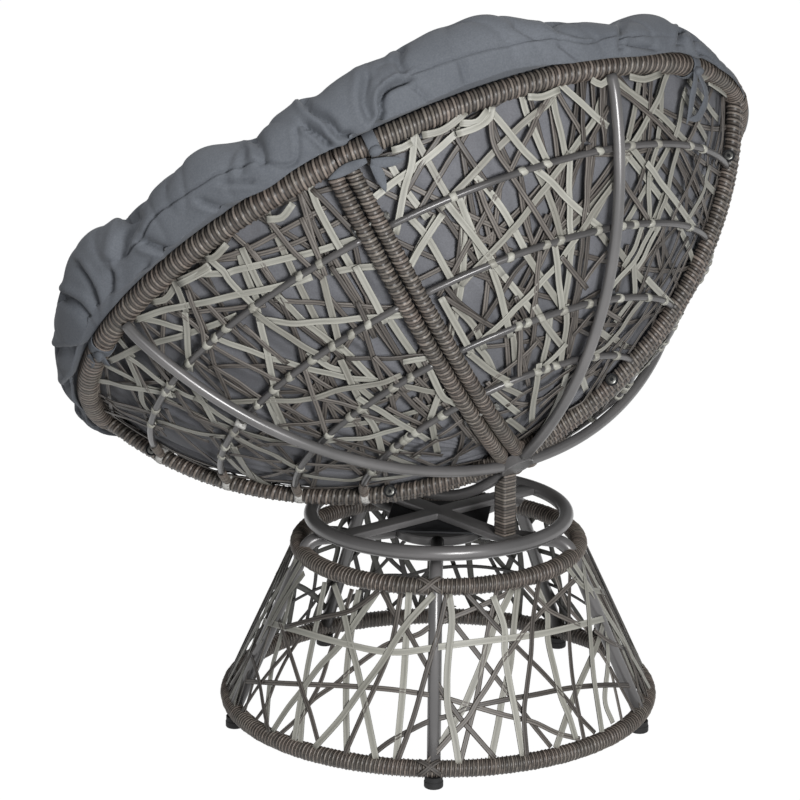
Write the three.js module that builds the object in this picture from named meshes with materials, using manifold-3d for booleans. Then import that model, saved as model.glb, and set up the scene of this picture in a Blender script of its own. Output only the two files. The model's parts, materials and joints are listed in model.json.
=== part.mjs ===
// Papasan chair: a round woven bowl on a swivel base, with one thick round cushion.
// Lengths are millimetres and angles are radians. +Z is up and the chair faces -Y.
// Everything is built with the swivel axis on X = Y = 0; the last step moves the origin to the
// floor under the middle of the chair's outline.

import * as THREE from "three";
import { mergeVertices } from "three/addons/utils/BufferGeometryUtils.js";
import Module from "manifold-3d";

const wasm = await Module();
wasm.setup();

const degrees = Math.PI / 180;

// Clearance between pieces that touch, and the length by which a cutter runs past what it cuts
const gap = 0.3;
const overrun = 6;

// Base: two wicker-wrapped hoops held by five bent steel legs
const baseRingRadius = 320;
const baseRingHeight = 28;
const topRingRadius = 211.4;
const topRingHeight = 265.5;
const hoopTubeRadius = 13;
const legCount = 5;
const firstLegTurn = 49 * degrees;
const legTubeRadius = 10;
const legArmRise = 20.5;
const legBendRadius = 26;
const footRadius = 14;
const footRise = 20;

// Swivel: hub, lower plate, race and upper plate on one upright axis
const hubRadius = 70;
const hubThickness = 14;
const plateThickness = 3;
const lowerPlateSide = 96;
const upperPlateSide = 150;
const raceInnerRadius = 34;
const raceOuterRadius = 47;
const raceThickness = 4.8;

// Turning frame: round ring, crossed flat bars and one upright post at the back
const swivelRingRadius = 192.5;
const swivelTubeRadius = 11;
const crossbarWidth = 28;
const crossbarThickness = 10;
const postSide = 24;
const postForward = 13.6;

// Bowl: a cap of a sphere, tipped back, whose lowest stretch is pressed flat over the ring
const rimRadius = 526;
const bowlDepth = 335;
const bowlTilt = 40.5 * degrees;
const bowlApexBack = 165.6;
const bowlSink = 43.1;
const restSoftness = 15;
const panelCount = 4;
const rimTubeRadius = 14;
const sideTubeRadius = 11;
const seamGap = 1.6;
const rimCornerRadius = 17;
const apexCornerRadius = 22;
const spineTubeRadius = 8;
const ribTubeRadius = 5;
const ribArcShares = [0.83, 0.66, 0.49, 0.34];
const spineHeadRadius = 26;

// Seam bolts: button heads and nuts on a short bolt through each pair of side tubes
const boltArcShares = [0.853, 0.28];
const boltShankRadius = 3;
const boltHeadRadius = 6.5;
const boltHeadThickness = 3;
const nutRadius = 6;
const nutThickness = 4.5;

// Woven strips of the bowl and of the base
const stripWidth = 8;
const stripThickness = 2.4;
const baseBandHeight = 150;

// Cushion: a round pad that lines the bowl and rolls over its rim
const cushionThickness = 112;
const cushionCrown = 104;
const cushionOverhang = 44;
const edgeRollWidth = 128;
const edgeRollHeight = 122;
const cushionPuffs = 12;
const puffDepth = 6;

// Finishes
const wickerColour = 0x5a544e;
const stripColour = 0xa9a698;
const steelColour = 0x54555a;
const rubberColour = 0x1b1b1c;
const boltColour = 0x8d8d8a;
const fabricColour = 0x646971;

function finish(color, roughness, metalness) {
  return () => new THREE.MeshStandardMaterial({ color, roughness, metalness });
}
const wicker = finish(wickerColour, 0.75, 0);
const strips = finish(stripColour, 0.7, 0);
const steel = finish(steelColour, 0.4, 0.3);
const blackSteel = finish(rubberColour, 0.5, 0.3);
const rubber = finish(rubberColour, 0.9, 0);
const zinc = finish(boltColour, 0.35, 0.8);
const fabric = finish(fabricColour, 0.95, 0);

const chair = new THREE.Group();

function add(name, geometry, material) {
  const mesh = new THREE.Mesh(geometry, material());
  mesh.name = name;
  chair.add(mesh);
  return mesh;
}

// Solids for cutting and joining
function solid(geometry) {
  const bare = geometry.clone();
  bare.deleteAttribute("normal");
  bare.deleteAttribute("uv");
  const merged = mergeVertices(bare, gap / 1000);
  const numProp = 3;
  const vertProperties = new Float32Array(merged.attributes.position.array);
  const triVerts = new Uint32Array(merged.index.array);
  return new wasm.Manifold(new wasm.Mesh({ numProp, vertProperties, triVerts }));
}

function geometryOf(manifold) {
  const mesh = manifold.getMesh();
  const geometry = new THREE.BufferGeometry();
  geometry.setAttribute("position", new THREE.BufferAttribute(mesh.vertProperties, mesh.numProp));
  geometry.setIndex(new THREE.BufferAttribute(mesh.triVerts, 1));
  geometry.computeVertexNormals();
  return geometry;
}

function joined(geometries) {
  return geometries.slice(1).reduce((body, geometry) => body.add(solid(geometry)), solid(geometries[0]));
}

function cut(geometry, cutters) {
  let body = solid(geometry);
  for (const cutter of cutters) {
    body = body.subtract(solid(cutter));
  }
  return geometryOf(body);
}

// A tube or strip swept along stations, each a centre, an outward normal and its section's points
// (outward, sideways). A closed sweep joins its last station to its first.
function sweep(stations, closed) {
  const count = stations.length;
  const sides = stations[0].section.length;
  const positions = [];
  for (let i = 0; i < count; i += 1) {
    const before = stations[closed ? (i + count - 1) % count : Math.max(i - 1, 0)].centre;
    const after = stations[closed ? (i + 1) % count : Math.min(i + 1, count - 1)].centre;
    const along = after.clone().sub(before).normalize();
    const side = new THREE.Vector3().crossVectors(along, stations[i].outward).normalize();
    const outward = new THREE.Vector3().crossVectors(side, along);
    for (const [out, across] of stations[i].section) {
      const point = stations[i].centre.clone().addScaledVector(outward, out).addScaledVector(side, across);
      positions.push(point.x, point.y, point.z);
    }
  }
  const index = [];
  const runs = closed ? count : count - 1;
  for (let i = 0; i < runs; i += 1) {
    for (let j = 0; j < sides; j += 1) {
      const a = i * sides + j;
      const b = i * sides + ((j + 1) % sides);
      const c = ((i + 1) % count) * sides + ((j + 1) % sides);
      const d = ((i + 1) % count) * sides + j;
      index.push(a, b, d, b, c, d);
    }
  }
  if (!closed) {
    const last = (count - 1) * sides;
    for (let j = 1; j < sides - 1; j += 1) {
      index.push(0, j + 1, j);
      index.push(last, last + j, last + j + 1);
    }
  }
  const geometry = new THREE.BufferGeometry();
  geometry.setAttribute("position", new THREE.Float32BufferAttribute(positions, 3));
  geometry.setIndex(index);
  geometry.computeVertexNormals();
  return geometry;
}

function roundSection(radius, sides) {
  const points = [];
  for (let j = 0; j < sides; j += 1) {
    const angle = (j + 0.5) * 2 * Math.PI / sides;
    points.push([radius * Math.cos(angle), radius * Math.sin(angle)]);
  }
  return points;
}

function flatSection(width, thickness) {
  const w = width / 2;
  const t = thickness / 2;
  return [[-t, -w], [t, -w], [t, w], [-t, w]];
}

function polar(radius, angle, height) {
  return new THREE.Vector3(radius * Math.cos(angle), radius * Math.sin(angle), height);
}

// Legs: an arm out of the hub, a bend over the top hoop, and a slope down to the base hoop
const legArmHeight = topRingHeight + legArmRise;
const slope = Math.atan2(topRingHeight - baseRingHeight, baseRingRadius - topRingRadius);
const legKneeRadius = topRingRadius - (legArmHeight - topRingHeight) / Math.tan(slope);
const legBendReach = legBendRadius * Math.tan(slope / 2);
const legBendSteps = 4;

function legStations(turn, tubeRadius, startRadius, endHeight, sides) {
  const radial = polar(1, turn, 0);
  const up = new THREE.Vector3(0, 0, 1);
  const stations = [];
  const place = (radius, height, tip) => {
    const outward = up.clone().multiplyScalar(Math.cos(tip)).addScaledVector(radial, Math.sin(tip));
    stations.push({
      centre: polar(radius, turn, height),
      outward,
      section: roundSection(tubeRadius, sides),
    });
  };
  place(startRadius, legArmHeight, 0);
  const bendStart = legKneeRadius - legBendReach;
  for (let i = 0; i <= legBendSteps; i += 1) {
    const tip = slope * i / legBendSteps;
    const radius = bendStart + legBendRadius * Math.sin(tip);
    place(radius, legArmHeight - legBendRadius * (1 - Math.cos(tip)), tip);
  }
  const run = (topRingHeight - endHeight) / Math.tan(slope);
  place(topRingRadius + run, endHeight, slope);
  return stations;
}

const legTurns = [];
for (let i = 0; i < legCount; i += 1) {
  legTurns.push(firstLegTurn + i * 2 * Math.PI / legCount);
}
const legSides = 8;
const legCutters = legTurns.map((turn) => (
  sweep(legStations(turn, legTubeRadius + gap, hubRadius, baseRingHeight - overrun, legSides), false)
));

function hoop(radius, tubeRadius, height, sides, steps) {
  const geometry = new THREE.TorusGeometry(radius, tubeRadius, sides, steps);
  geometry.translate(0, 0, height);
  return geometry;
}

const hoopSides = 8;
const hoopSteps = 32;
add("base_top_ring", cut(hoop(topRingRadius, hoopTubeRadius, topRingHeight, hoopSides, hoopSteps), legCutters), wicker);
add("base_bottom_ring", cut(hoop(baseRingRadius, hoopTubeRadius, baseRingHeight, hoopSides, hoopSteps), legCutters), wicker);

legTurns.forEach((turn, i) => {
  const stations = legStations(turn, legTubeRadius, hubRadius + gap, baseRingHeight - gap, legSides);
  add(`leg_${i + 1}`, sweep(stations, false), steel);
});

// Feet: rubber cups that hug the underside of the base hoop below each leg
const footCutter = hoop(baseRingRadius, hoopTubeRadius + gap, baseRingHeight, hoopSides, hoopSteps);
const footSides = 16;
legTurns.forEach((turn, i) => {
  const foot = new THREE.CylinderGeometry(footRadius, footRadius, footRise, footSides);
  foot.rotateX(Math.PI / 2);
  const seat = polar(baseRingRadius, turn, footRise / 2);
  foot.translate(seat.x, seat.y, seat.z);
  add(`foot_${i + 1}`, cut(foot, [footCutter]), rubber);
});

// Base weave: strips slanting from hoop to hoop outside the legs, and one band round the middle.
// Each strip is given by its two ends as turns about the axis, in shares of a whole turn.
const baseStripSteps = 4;
const baseBandSteps = 30;
const baseStripTurnShares = [
  [0.02, 0.085],
  [0.115, 0.03],
  [0.15, 0.235],
  [0.265, 0.17],
  [0.3, 0.36],
  [0.42, 0.34],
  [0.47, 0.55],
  [0.585, 0.51],
  [0.62, 0.7],
  [0.745, 0.67],
  [0.79, 0.86],
  [0.93, 0.85],
  [0.95, 0.99],
];
const baseSag = baseRingRadius * (1 - Math.cos(Math.PI / baseBandSteps));
const baseWeaveOutset = legTubeRadius + gap + baseSag + stripThickness / 2;

function coneStation(turn, height, outset) {
  const outward = polar(Math.sin(slope), turn, Math.cos(slope));
  const radius = topRingRadius + (topRingHeight - height) / Math.tan(slope);
  const centre = polar(radius, turn, height).addScaledVector(outward, outset);
  return { centre, outward, section: flatSection(stripWidth, stripThickness) };
}

function baseStrip([topShare, bottomShare], outset) {
  const stations = [];
  for (let i = 0; i <= baseStripSteps; i += 1) {
    const share = i / baseStripSteps;
    const turn = 2 * Math.PI * (topShare + (bottomShare - topShare) * share);
    stations.push(coneStation(turn, topRingHeight + (baseRingHeight - topRingHeight) * share, outset));
  }
  return sweep(stations, false);
}

const bandStations = [];
for (let i = 0; i < baseBandSteps; i += 1) {
  bandStations.push(coneStation(i * 2 * Math.PI / baseBandSteps, baseBandHeight, baseWeaveOutset));
}
const baseStrips = baseStripTurnShares.map((ends) => baseStrip(ends, baseWeaveOutset + stripThickness / 2));
const baseWoven = joined([sweep(bandStations, true), ...baseStrips]);
const topHoopCutter = hoop(topRingRadius, hoopTubeRadius + gap, topRingHeight, hoopSides, hoopSteps);
const baseWeave = baseWoven.subtract(solid(topHoopCutter)).subtract(solid(footCutter));
add("base_weave", geometryOf(baseWeave), strips);

// Hub: a round plate that the five arms meet
const hubTop = legArmHeight + hubThickness / 2;
function disc(radius, bottom, thickness, sides) {
  const geometry = new THREE.CylinderGeometry(radius, radius, thickness, sides);
  geometry.rotateX(Math.PI / 2);
  geometry.translate(0, 0, bottom + thickness / 2);
  return geometry;
}
const hubSides = 30;
add("base_hub", disc(hubRadius, hubTop - hubThickness, hubThickness, hubSides), steel);

// Swivel plates with the race between them
const lowerPlateBottom = hubTop + gap;
const raceBottom = lowerPlateBottom + plateThickness + gap;
const raceTop = raceBottom + raceThickness;
const upperPlateBottom = raceTop + gap;
function squarePlate(side, bottom) {
  const geometry = new THREE.BoxGeometry(side, side, plateThickness);
  geometry.rotateZ(Math.PI / 4);
  geometry.translate(0, 0, bottom + plateThickness / 2);
  return geometry;
}
add("lower_swivel_plate", squarePlate(lowerPlateSide, lowerPlateBottom), blackSteel);
add("upper_swivel_plate", squarePlate(upperPlateSide, upperPlateBottom), blackSteel);

const raceSteps = 24;
const raceProfile = [
  new THREE.Vector2(raceInnerRadius, raceBottom),
  new THREE.Vector2(raceOuterRadius, raceBottom),
  new THREE.Vector2(raceOuterRadius, raceTop),
  new THREE.Vector2(raceInnerRadius, raceTop),
  new THREE.Vector2(raceInnerRadius, raceBottom),
];
const race = new THREE.LatheGeometry(raceProfile, raceSteps);
race.rotateX(Math.PI / 2);
add("bearing_race", race, blackSteel);

// Turning frame: the ring, and bars that cross inside it on the upper plate
const swivelRingHeight = upperPlateBottom + plateThickness + gap + crossbarThickness / 2;
const swivelRing = hoop(swivelRingRadius, swivelTubeRadius, swivelRingHeight, hoopSides, hoopSteps);
add("swivel_ring", swivelRing, steel);
const swivelCutter = hoop(swivelRingRadius, swivelTubeRadius + gap, swivelRingHeight, hoopSides, hoopSteps);
const barLength = 2 * swivelRingRadius;
const longBar = new THREE.BoxGeometry(crossbarWidth, barLength, crossbarThickness);
const wideBar = new THREE.BoxGeometry(barLength, crossbarWidth, crossbarThickness);
longBar.translate(0, 0, swivelRingHeight);
wideBar.translate(0, 0, swivelRingHeight);
const crossedBars = solid(longBar).add(solid(wideBar)).subtract(solid(swivelCutter));
add("crossbars", geometryOf(crossedBars), steel);

// Bowl surface: a point is given by its arc from the apex as a share of the whole arc, its turn
// about the bowl's axis (0 at the high back, quarter turns towards -X), and its height off the
// surface, outward
const sphereRadius = (rimRadius ** 2 + bowlDepth ** 2) / (2 * bowlDepth);
const capAngle = Math.atan2(rimRadius, sphereRadius - bowlDepth);
const bowlAxis = new THREE.Vector3(0, -Math.sin(bowlTilt), Math.cos(bowlTilt));
const backDirection = new THREE.Vector3(0, Math.cos(bowlTilt), Math.sin(bowlTilt));
const sideDirection = new THREE.Vector3().crossVectors(bowlAxis, backDirection);

const panelSpan = 2 * Math.PI / panelCount;
const ribSteps = 8;
const ribSag = rimRadius * (1 - Math.cos(panelSpan / ribSteps / 2));
const ribOutset = -ribTubeRadius / 5;
const spineOutset = ribOutset + ribTubeRadius + gap + spineTubeRadius;
const weaveOutset = ribOutset - ribTubeRadius - ribSag - gap - stripThickness / 2;
const restHeight = swivelRingHeight + swivelTubeRadius + gap + spineTubeRadius + spineOutset;
const sphereCentre = new THREE.Vector3(
  0,
  bowlApexBack - sphereRadius * Math.sin(bowlTilt),
  restHeight - bowlSink + sphereRadius,
);

function lifted(point) {
  const rise = Math.log(1 + Math.exp((point.z - restHeight) / restSoftness)) * restSoftness;
  return restHeight + rise - point.z;
}

function bowlNormal(share, turn) {
  const angle = capAngle * share;
  return new THREE.Vector3()
    .addScaledVector(bowlAxis, -Math.cos(angle))
    .addScaledVector(backDirection, Math.sin(angle) * Math.cos(turn))
    .addScaledVector(sideDirection, Math.sin(angle) * Math.sin(turn));
}

function bowlPoint(share, turn, outset) {
  const normal = bowlNormal(share, turn);
  const onSurface = sphereCentre.clone().addScaledVector(normal, sphereRadius);
  const rise = lifted(onSurface);
  const point = onSurface.addScaledVector(normal, outset);
  point.z += rise;
  return point;
}

function bowlStation(share, turn, outset, section) {
  return { centre: bowlPoint(share, turn, outset), outward: bowlNormal(share, turn), section };
}

// The turn at which a line beside a seam lies at a distance from it, at a share of the arc
function besideSeam(seamTurn, side, distance, share) {
  return seamTurn + side * Math.asin(distance / (sphereRadius * Math.sin(capAngle * share)));
}

const arcLength = sphereRadius * capAngle;
const sideInset = sideTubeRadius + seamGap / 2;
const frameSides = 8;
const sideSteps = 7;
const rimSteps = 9;
const cornerSteps = 3;

// A panel's frame as a closed loop of places: up one seam, along the rim, and down the other
function frameLoop(panelTurn, growth) {
  const cornerShare = rimCornerRadius / arcLength;
  const apexShare = (sideInset * Math.SQRT2 + apexCornerRadius) / arcLength;
  const places = [];
  const sidePlace = (side, share, radius) => {
    const seam = panelTurn + side * panelSpan / 2;
    return { share, turn: besideSeam(seam, -side, sideInset, share), radius };
  };
  const flat = ({ share, turn }) => [share * Math.cos(turn - panelTurn), share * Math.sin(turn - panelTurn)];
  const corner = (from, middle, to, radiusFrom, radiusTo) => {
    const [a, b, c] = [flat(from), flat(middle), flat(to)];
    for (let i = 1; i < cornerSteps + 1; i += 1) {
      const t = i / (cornerSteps + 1);
      const x = (1 - t) ** 2 * a[0] + 2 * t * (1 - t) * b[0] + t ** 2 * c[0];
      const y = (1 - t) ** 2 * a[1] + 2 * t * (1 - t) * b[1] + t ** 2 * c[1];
      const radius = radiusFrom + (radiusTo - radiusFrom) * t;
      places.push({ share: Math.hypot(x, y), turn: panelTurn + Math.atan2(y, x), radius });
    }
  };
  const lowShare = apexShare;
  const highShare = 1 - cornerShare;
  const rimTurnInset = Math.asin((sideInset + rimCornerRadius) / rimRadius);
  const rimPlace = (side) => (
    { share: 1, turn: panelTurn + side * (panelSpan / 2 - rimTurnInset), radius: rimTubeRadius }
  );
  for (let i = 0; i <= sideSteps; i += 1) {
    places.push(sidePlace(-1, lowShare + (highShare - lowShare) * i / sideSteps, sideTubeRadius));
  }
  corner(sidePlace(-1, highShare), sidePlace(-1, 1), rimPlace(-1), sideTubeRadius, rimTubeRadius);
  for (let i = 0; i <= rimSteps; i += 1) {
    const turn = rimPlace(-1).turn + (rimPlace(1).turn - rimPlace(-1).turn) * i / rimSteps;
    places.push({ share: 1, turn, radius: rimTubeRadius });
  }
  corner(rimPlace(1), sidePlace(1, 1), sidePlace(1, highShare), rimTubeRadius, sideTubeRadius);
  for (let i = sideSteps; i >= 0; i -= 1) {
    places.push(sidePlace(1, lowShare + (highShare - lowShare) * i / sideSteps, sideTubeRadius));
  }
  const apexMiddle = { share: sideInset * Math.SQRT2 / arcLength, turn: panelTurn };
  corner(sidePlace(1, lowShare), apexMiddle, sidePlace(-1, lowShare), sideTubeRadius, sideTubeRadius);
  return places.map(({ share, turn, radius }) => (
    bowlStation(share, turn, 0, roundSection(radius + growth, frameSides))
  ));
}

// Spine tubes run outside the panels from the spine head to the rim
const spineSides = 8;
const spineSteps = 9;
function spineStations(panelTurn, growth) {
  const stations = [];
  const startShare = spineHeadRadius / arcLength;
  for (let i = 0; i <= spineSteps; i += 1) {
    const share = startShare + (1 - startShare) * i / spineSteps;
    const tuck = i === spineSteps ? sideTubeRadius / 2 : 0;
    stations.push(bowlStation(share, panelTurn, spineOutset - tuck, roundSection(spineTubeRadius + growth, spineSides)));
  }
  return stations;
}

// A round block square to the bowl's axis at the apex, between two heights off the surface
function apexBlock(radius, from, to) {
  const geometry = new THREE.CylinderGeometry(radius, radius, to - from, 2 * spineSides);
  geometry.rotateX(Math.PI / 2);
  geometry.rotateX(bowlTilt);
  const centre = bowlPoint(0, 0, (from + to) / 2);
  geometry.translate(centre.x, centre.y, centre.z);
  return geometry;
}

// The spine head caps the post, and the four spines end against it
function headBlock(growth) {
  const reach = spineTubeRadius + growth;
  return apexBlock(spineHeadRadius + growth, spineOutset - reach, spineOutset + reach);
}

const panelNames = ["back", "left", "front", "right"];
const frameCutters = panelNames.map((name, i) => sweep(frameLoop(i * panelSpan, gap), true));
const spineHeadCutter = headBlock(gap);

// Ribs cross each panel inside its spine, from one side tube to the other
const ribSides = 5;
function ribStations(panelTurn, share) {
  const stations = [];
  const from = besideSeam(panelTurn - panelSpan / 2, 1, sideInset, share);
  const to = besideSeam(panelTurn + panelSpan / 2, -1, sideInset, share);
  for (let i = 0; i <= ribSteps; i += 1) {
    const turn = from + (to - from) * i / ribSteps;
    stations.push(bowlStation(share, turn, ribOutset, roundSection(ribTubeRadius, ribSides)));
  }
  return stations;
}

// Woven strips of a panel, each from one place on its frame to another. A place is a share of the
// arc and a share of the half panel, from -1 at one seam to 1 at the other.
const panelStripShares = [
  [[1, -0.8], [0.42, 1]],
  [[1, 0.86], [0.5, -1]],
  [[1, -0.36], [0.3, 1]],
  [[1, 0.34], [0.26, -1]],
  [[0.72, -1], [0.74, 1]],
  [[0.86, 1], [0.56, -1]],
];
const stripSteps = 5;
function panelStrip(panelTurn, ends, outset) {
  const [a, b] = ends.map(([share, halfShare]) => {
    const inset = besideSeam(0, 1, sideInset, share);
    const turn = halfShare * (panelSpan / 2 - inset);
    return new THREE.Vector2(share * Math.cos(turn), share * Math.sin(turn));
  });
  const stations = [];
  for (let i = 0; i <= stripSteps; i += 1) {
    const place = a.clone().lerp(b, i / stripSteps);
    const turn = panelTurn + Math.atan2(place.y, place.x);
    const section = flatSection(stripWidth, stripThickness);
    stations.push(bowlStation(place.length(), turn, outset, section));
  }
  return sweep(stations, false);
}

// Seam bolts: each runs square through the two side tubes that meet at a seam, head on one side
// and nut on the other
const boltSides = 6;
const tubeFlat = sideTubeRadius * Math.cos(Math.PI / frameSides);
function seamBolt(seamTurn, share, growth) {
  const near = bowlPoint(share, besideSeam(seamTurn, -1, sideInset, share), 0);
  const far = bowlPoint(share, besideSeam(seamTurn, 1, sideInset, share), 0);
  const grip = near.distanceTo(far) / 2 + tubeFlat + gap;
  const shank = boltShankRadius + growth;
  const boltProfile = growth > 0 ? [
    new THREE.Vector2(0, -grip - overrun),
    new THREE.Vector2(shank, -grip - overrun),
    new THREE.Vector2(shank, grip + overrun),
    new THREE.Vector2(0, grip + overrun),
  ] : [
    new THREE.Vector2(0, -grip - boltHeadThickness),
    new THREE.Vector2(boltHeadRadius, -grip - boltHeadThickness),
    new THREE.Vector2(boltHeadRadius, -grip),
    new THREE.Vector2(shank, -grip),
    new THREE.Vector2(shank, grip),
    new THREE.Vector2(nutRadius, grip),
    new THREE.Vector2(nutRadius, grip + nutThickness),
    new THREE.Vector2(0, grip + nutThickness),
  ];
  const bolt = new THREE.LatheGeometry(boltProfile, boltSides);
  const along = far.clone().sub(near).normalize();
  bolt.applyQuaternion(new THREE.Quaternion().setFromUnitVectors(new THREE.Vector3(0, 1, 0), along));
  const seat = near.add(far).divideScalar(2);
  bolt.translate(seat.x, seat.y, seat.z);
  return bolt;
}

panelNames.forEach((name, i) => {
  const turn = i * panelSpan;
  const seams = [turn - panelSpan / 2, turn + panelSpan / 2];
  const boltHoles = seams.flatMap((seam) => boltArcShares.map((share) => seamBolt(seam, share, gap)));
  add(`${name}_panel_frame`, cut(sweep(frameLoop(turn, 0), true), boltHoles), wicker);
  const nextName = panelNames[(i + 1) % panelCount];
  boltArcShares.forEach((share, j) => {
    add(`${name}_${nextName}_bolt_${j + 1}`, seamBolt(seams[1], share, 0), zinc);
  });
  const spine = cut(sweep(spineStations(turn, 0), false), [frameCutters[i], spineHeadCutter]);
  add(`${name}_spine`, spine, steel);
  ribArcShares.forEach((share, j) => {
    const rib = cut(sweep(ribStations(turn, share), false), [frameCutters[i]]);
    add(`${name}_rib_${j + 1}`, rib, steel);
  });
  const woven = joined(panelStripShares.map((strip, j) => (
    panelStrip(turn, strip, weaveOutset - (j % 2) * stripThickness / 2)
  )));
  add(`${name}_panel_weave`, geometryOf(woven.subtract(solid(frameCutters[i]))), strips);
});

add("spine_head", cut(headBlock(0), frameCutters), steel);

// Post: stands on the rear crossbar and ends square against the underside of the spine head
const postBack = bowlApexBack - postForward;
const postBottom = swivelRingHeight + crossbarThickness / 2 + gap;
const postTop = bowlPoint(0, 0, 0).z;
const post = new THREE.BoxGeometry(postSide, postSide, postTop - postBottom);
post.translate(0, postBack, (postTop + postBottom) / 2);
const postTrim = apexBlock(spineHeadRadius + postSide, -bowlDepth, spineOutset + spineTubeRadius + gap);
add("rear_post", cut(post, [postTrim]), wicker);

// Cushion: a lining that lies inside the bowl, a puffed roll over the rim, and a dish on top. The
// profile runs from the middle of the lining to the middle of the dish.
const cushionSteps = 44;
const liningSteps = 6;
const hugSteps = 4;
const rollSteps = 8;
const dishSteps = 6;
const rimSag = rimRadius * (1 - Math.cos(panelSpan / rimSteps / 2));
const hugRadius = (rimTubeRadius + rimSag + gap) / Math.cos(Math.PI / 2 / hugSteps);
const sphereHeight = sphereRadius - bowlDepth;
const rollCentre = new THREE.Vector2(
  rimRadius + cushionOverhang - edgeRollWidth / 2,
  cushionCrown - edgeRollHeight / 2,
);

// A place is a distance from the bowl's axis and a height above the rim's plane
function cushionPoint(place, turn) {
  const x = place.x;
  const y = sphereHeight - place.y;
  return bowlPoint(Math.atan2(x, y) / capAngle, turn, Math.hypot(x, y) - sphereRadius);
}

const rollStart = -40 * degrees;
const rollEnd = 152 * degrees;
function cushionProfile(turn) {
  const places = [];
  const puff = puffDepth * Math.cos(cushionPuffs * turn);
  const onSphere = (radius, angle) => (
    new THREE.Vector2(radius * Math.sin(angle), sphereHeight - radius * Math.cos(angle))
  );
  const liningRadius = sphereRadius - hugRadius;
  for (let i = 0; i < liningSteps; i += 1) {
    places.push(onSphere(liningRadius, capAngle * i / liningSteps));
  }
  const hugStart = Math.PI / 2 + capAngle;
  const hugEnd = hugStart - Math.PI * 3 / 4;
  for (let i = 0; i <= hugSteps; i += 1) {
    const angle = hugStart + (hugEnd - hugStart) * i / hugSteps;
    places.push(new THREE.Vector2(rimRadius + hugRadius * Math.cos(angle), hugRadius * Math.sin(angle)));
  }
  for (let i = 0; i <= rollSteps; i += 1) {
    const angle = rollStart + (rollEnd - rollStart) * i / rollSteps;
    const swell = puff * Math.sin(Math.PI * i / rollSteps);
    places.push(new THREE.Vector2(
      rollCentre.x + (edgeRollWidth / 2 + swell) * Math.cos(angle),
      rollCentre.y + (edgeRollHeight / 2 + swell) * Math.sin(angle),
    ));
  }
  const lip = places[places.length - 1];
  const lipAngle = Math.atan2(lip.x, sphereHeight - lip.y);
  const lipRadius = Math.hypot(lip.x, sphereHeight - lip.y);
  const dishRadius = liningRadius - cushionThickness;
  for (let i = 1; i <= dishSteps; i += 1) {
    const share = 1 - i / dishSteps;
    places.push(onSphere(dishRadius + (lipRadius - dishRadius) * share ** 3, lipAngle * share));
  }
  return places;
}

function cushionGeometry() {
  const rings = cushionProfile(0).length - 2;
  const positions = cushionPoint(cushionProfile(0)[0], 0).toArray();
  for (let j = 0; j < cushionSteps; j += 1) {
    const turn = j * 2 * Math.PI / cushionSteps;
    cushionProfile(turn).slice(1, -1).forEach((place) => {
      positions.push(...cushionPoint(place, turn).toArray());
    });
  }
  positions.push(...cushionPoint(cushionProfile(0)[rings + 1], 0).toArray());
  const at = (j, k) => 1 + (j % cushionSteps) * rings + k;
  const top = 1 + cushionSteps * rings;
  const index = [];
  for (let j = 0; j < cushionSteps; j += 1) {
    index.push(0, at(j + 1, 0), at(j, 0));
    for (let k = 0; k < rings - 1; k += 1) {
      index.push(at(j, k), at(j + 1, k), at(j, k + 1));
      index.push(at(j + 1, k), at(j + 1, k + 1), at(j, k + 1));
    }
    index.push(at(j, rings - 1), at(j + 1, rings - 1), top);
  }
  const geometry = new THREE.BufferGeometry();
  geometry.setAttribute("position", new THREE.Float32BufferAttribute(positions, 3));
  geometry.setIndex(index);
  geometry.computeVertexNormals();
  return geometry;
}
add("cushion", cushionGeometry(), fabric);

// The origin goes to the floor under the middle of the outline
const outline = new THREE.Box3().setFromObject(chair);
const middle = outline.getCenter(new THREE.Vector3());
chair.position.set(-middle.x, -middle.y, -outline.min.z);
chair.updateMatrixWorld(true);
export default chair;
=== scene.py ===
# The papasan chair's looks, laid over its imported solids. Lengths are in metres unless a name
# ends in _mm. +Z is up, the chair faces -Y, and the swivel axis is upright.
import json
import math
import bmesh
import bpy
import numpy as np
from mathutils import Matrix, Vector, noise


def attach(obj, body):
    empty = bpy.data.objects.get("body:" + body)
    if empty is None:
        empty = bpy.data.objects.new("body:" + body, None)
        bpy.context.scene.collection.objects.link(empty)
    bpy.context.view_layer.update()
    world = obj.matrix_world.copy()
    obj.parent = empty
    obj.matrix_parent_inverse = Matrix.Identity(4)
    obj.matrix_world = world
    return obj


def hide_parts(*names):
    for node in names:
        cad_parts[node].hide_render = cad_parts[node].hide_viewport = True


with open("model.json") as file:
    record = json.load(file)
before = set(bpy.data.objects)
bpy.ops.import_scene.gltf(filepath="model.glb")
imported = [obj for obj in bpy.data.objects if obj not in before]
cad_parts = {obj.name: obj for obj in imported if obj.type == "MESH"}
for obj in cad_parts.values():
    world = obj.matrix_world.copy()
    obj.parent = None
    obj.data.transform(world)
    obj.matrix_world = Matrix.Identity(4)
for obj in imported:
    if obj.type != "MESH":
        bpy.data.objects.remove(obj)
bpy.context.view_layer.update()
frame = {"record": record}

# Camera: a long lens a little above the chair, behind it and to its left. Its place is given
# from the foot of the swivel axis.
swivel_joint = frame["record"]["behaviour"]["joints"][0]
axis_foot = np.array([swivel_joint["pos_m"][0], swivel_joint["pos_m"][1], 0.0])
camera_offset = np.array([2.7907, 3.3307, 1.7225])
camera_heading = math.radians(230.81)
camera_pitch = math.radians(-15.88)
camera_lens_mm = 136.1
camera_film_mm = 36.0


def linked(name, data):
    """An object in the scene that carries a mesh, a camera or a lamp."""
    made = bpy.data.objects.new(name, data)
    bpy.context.scene.collection.objects.link(made)
    return made


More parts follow.
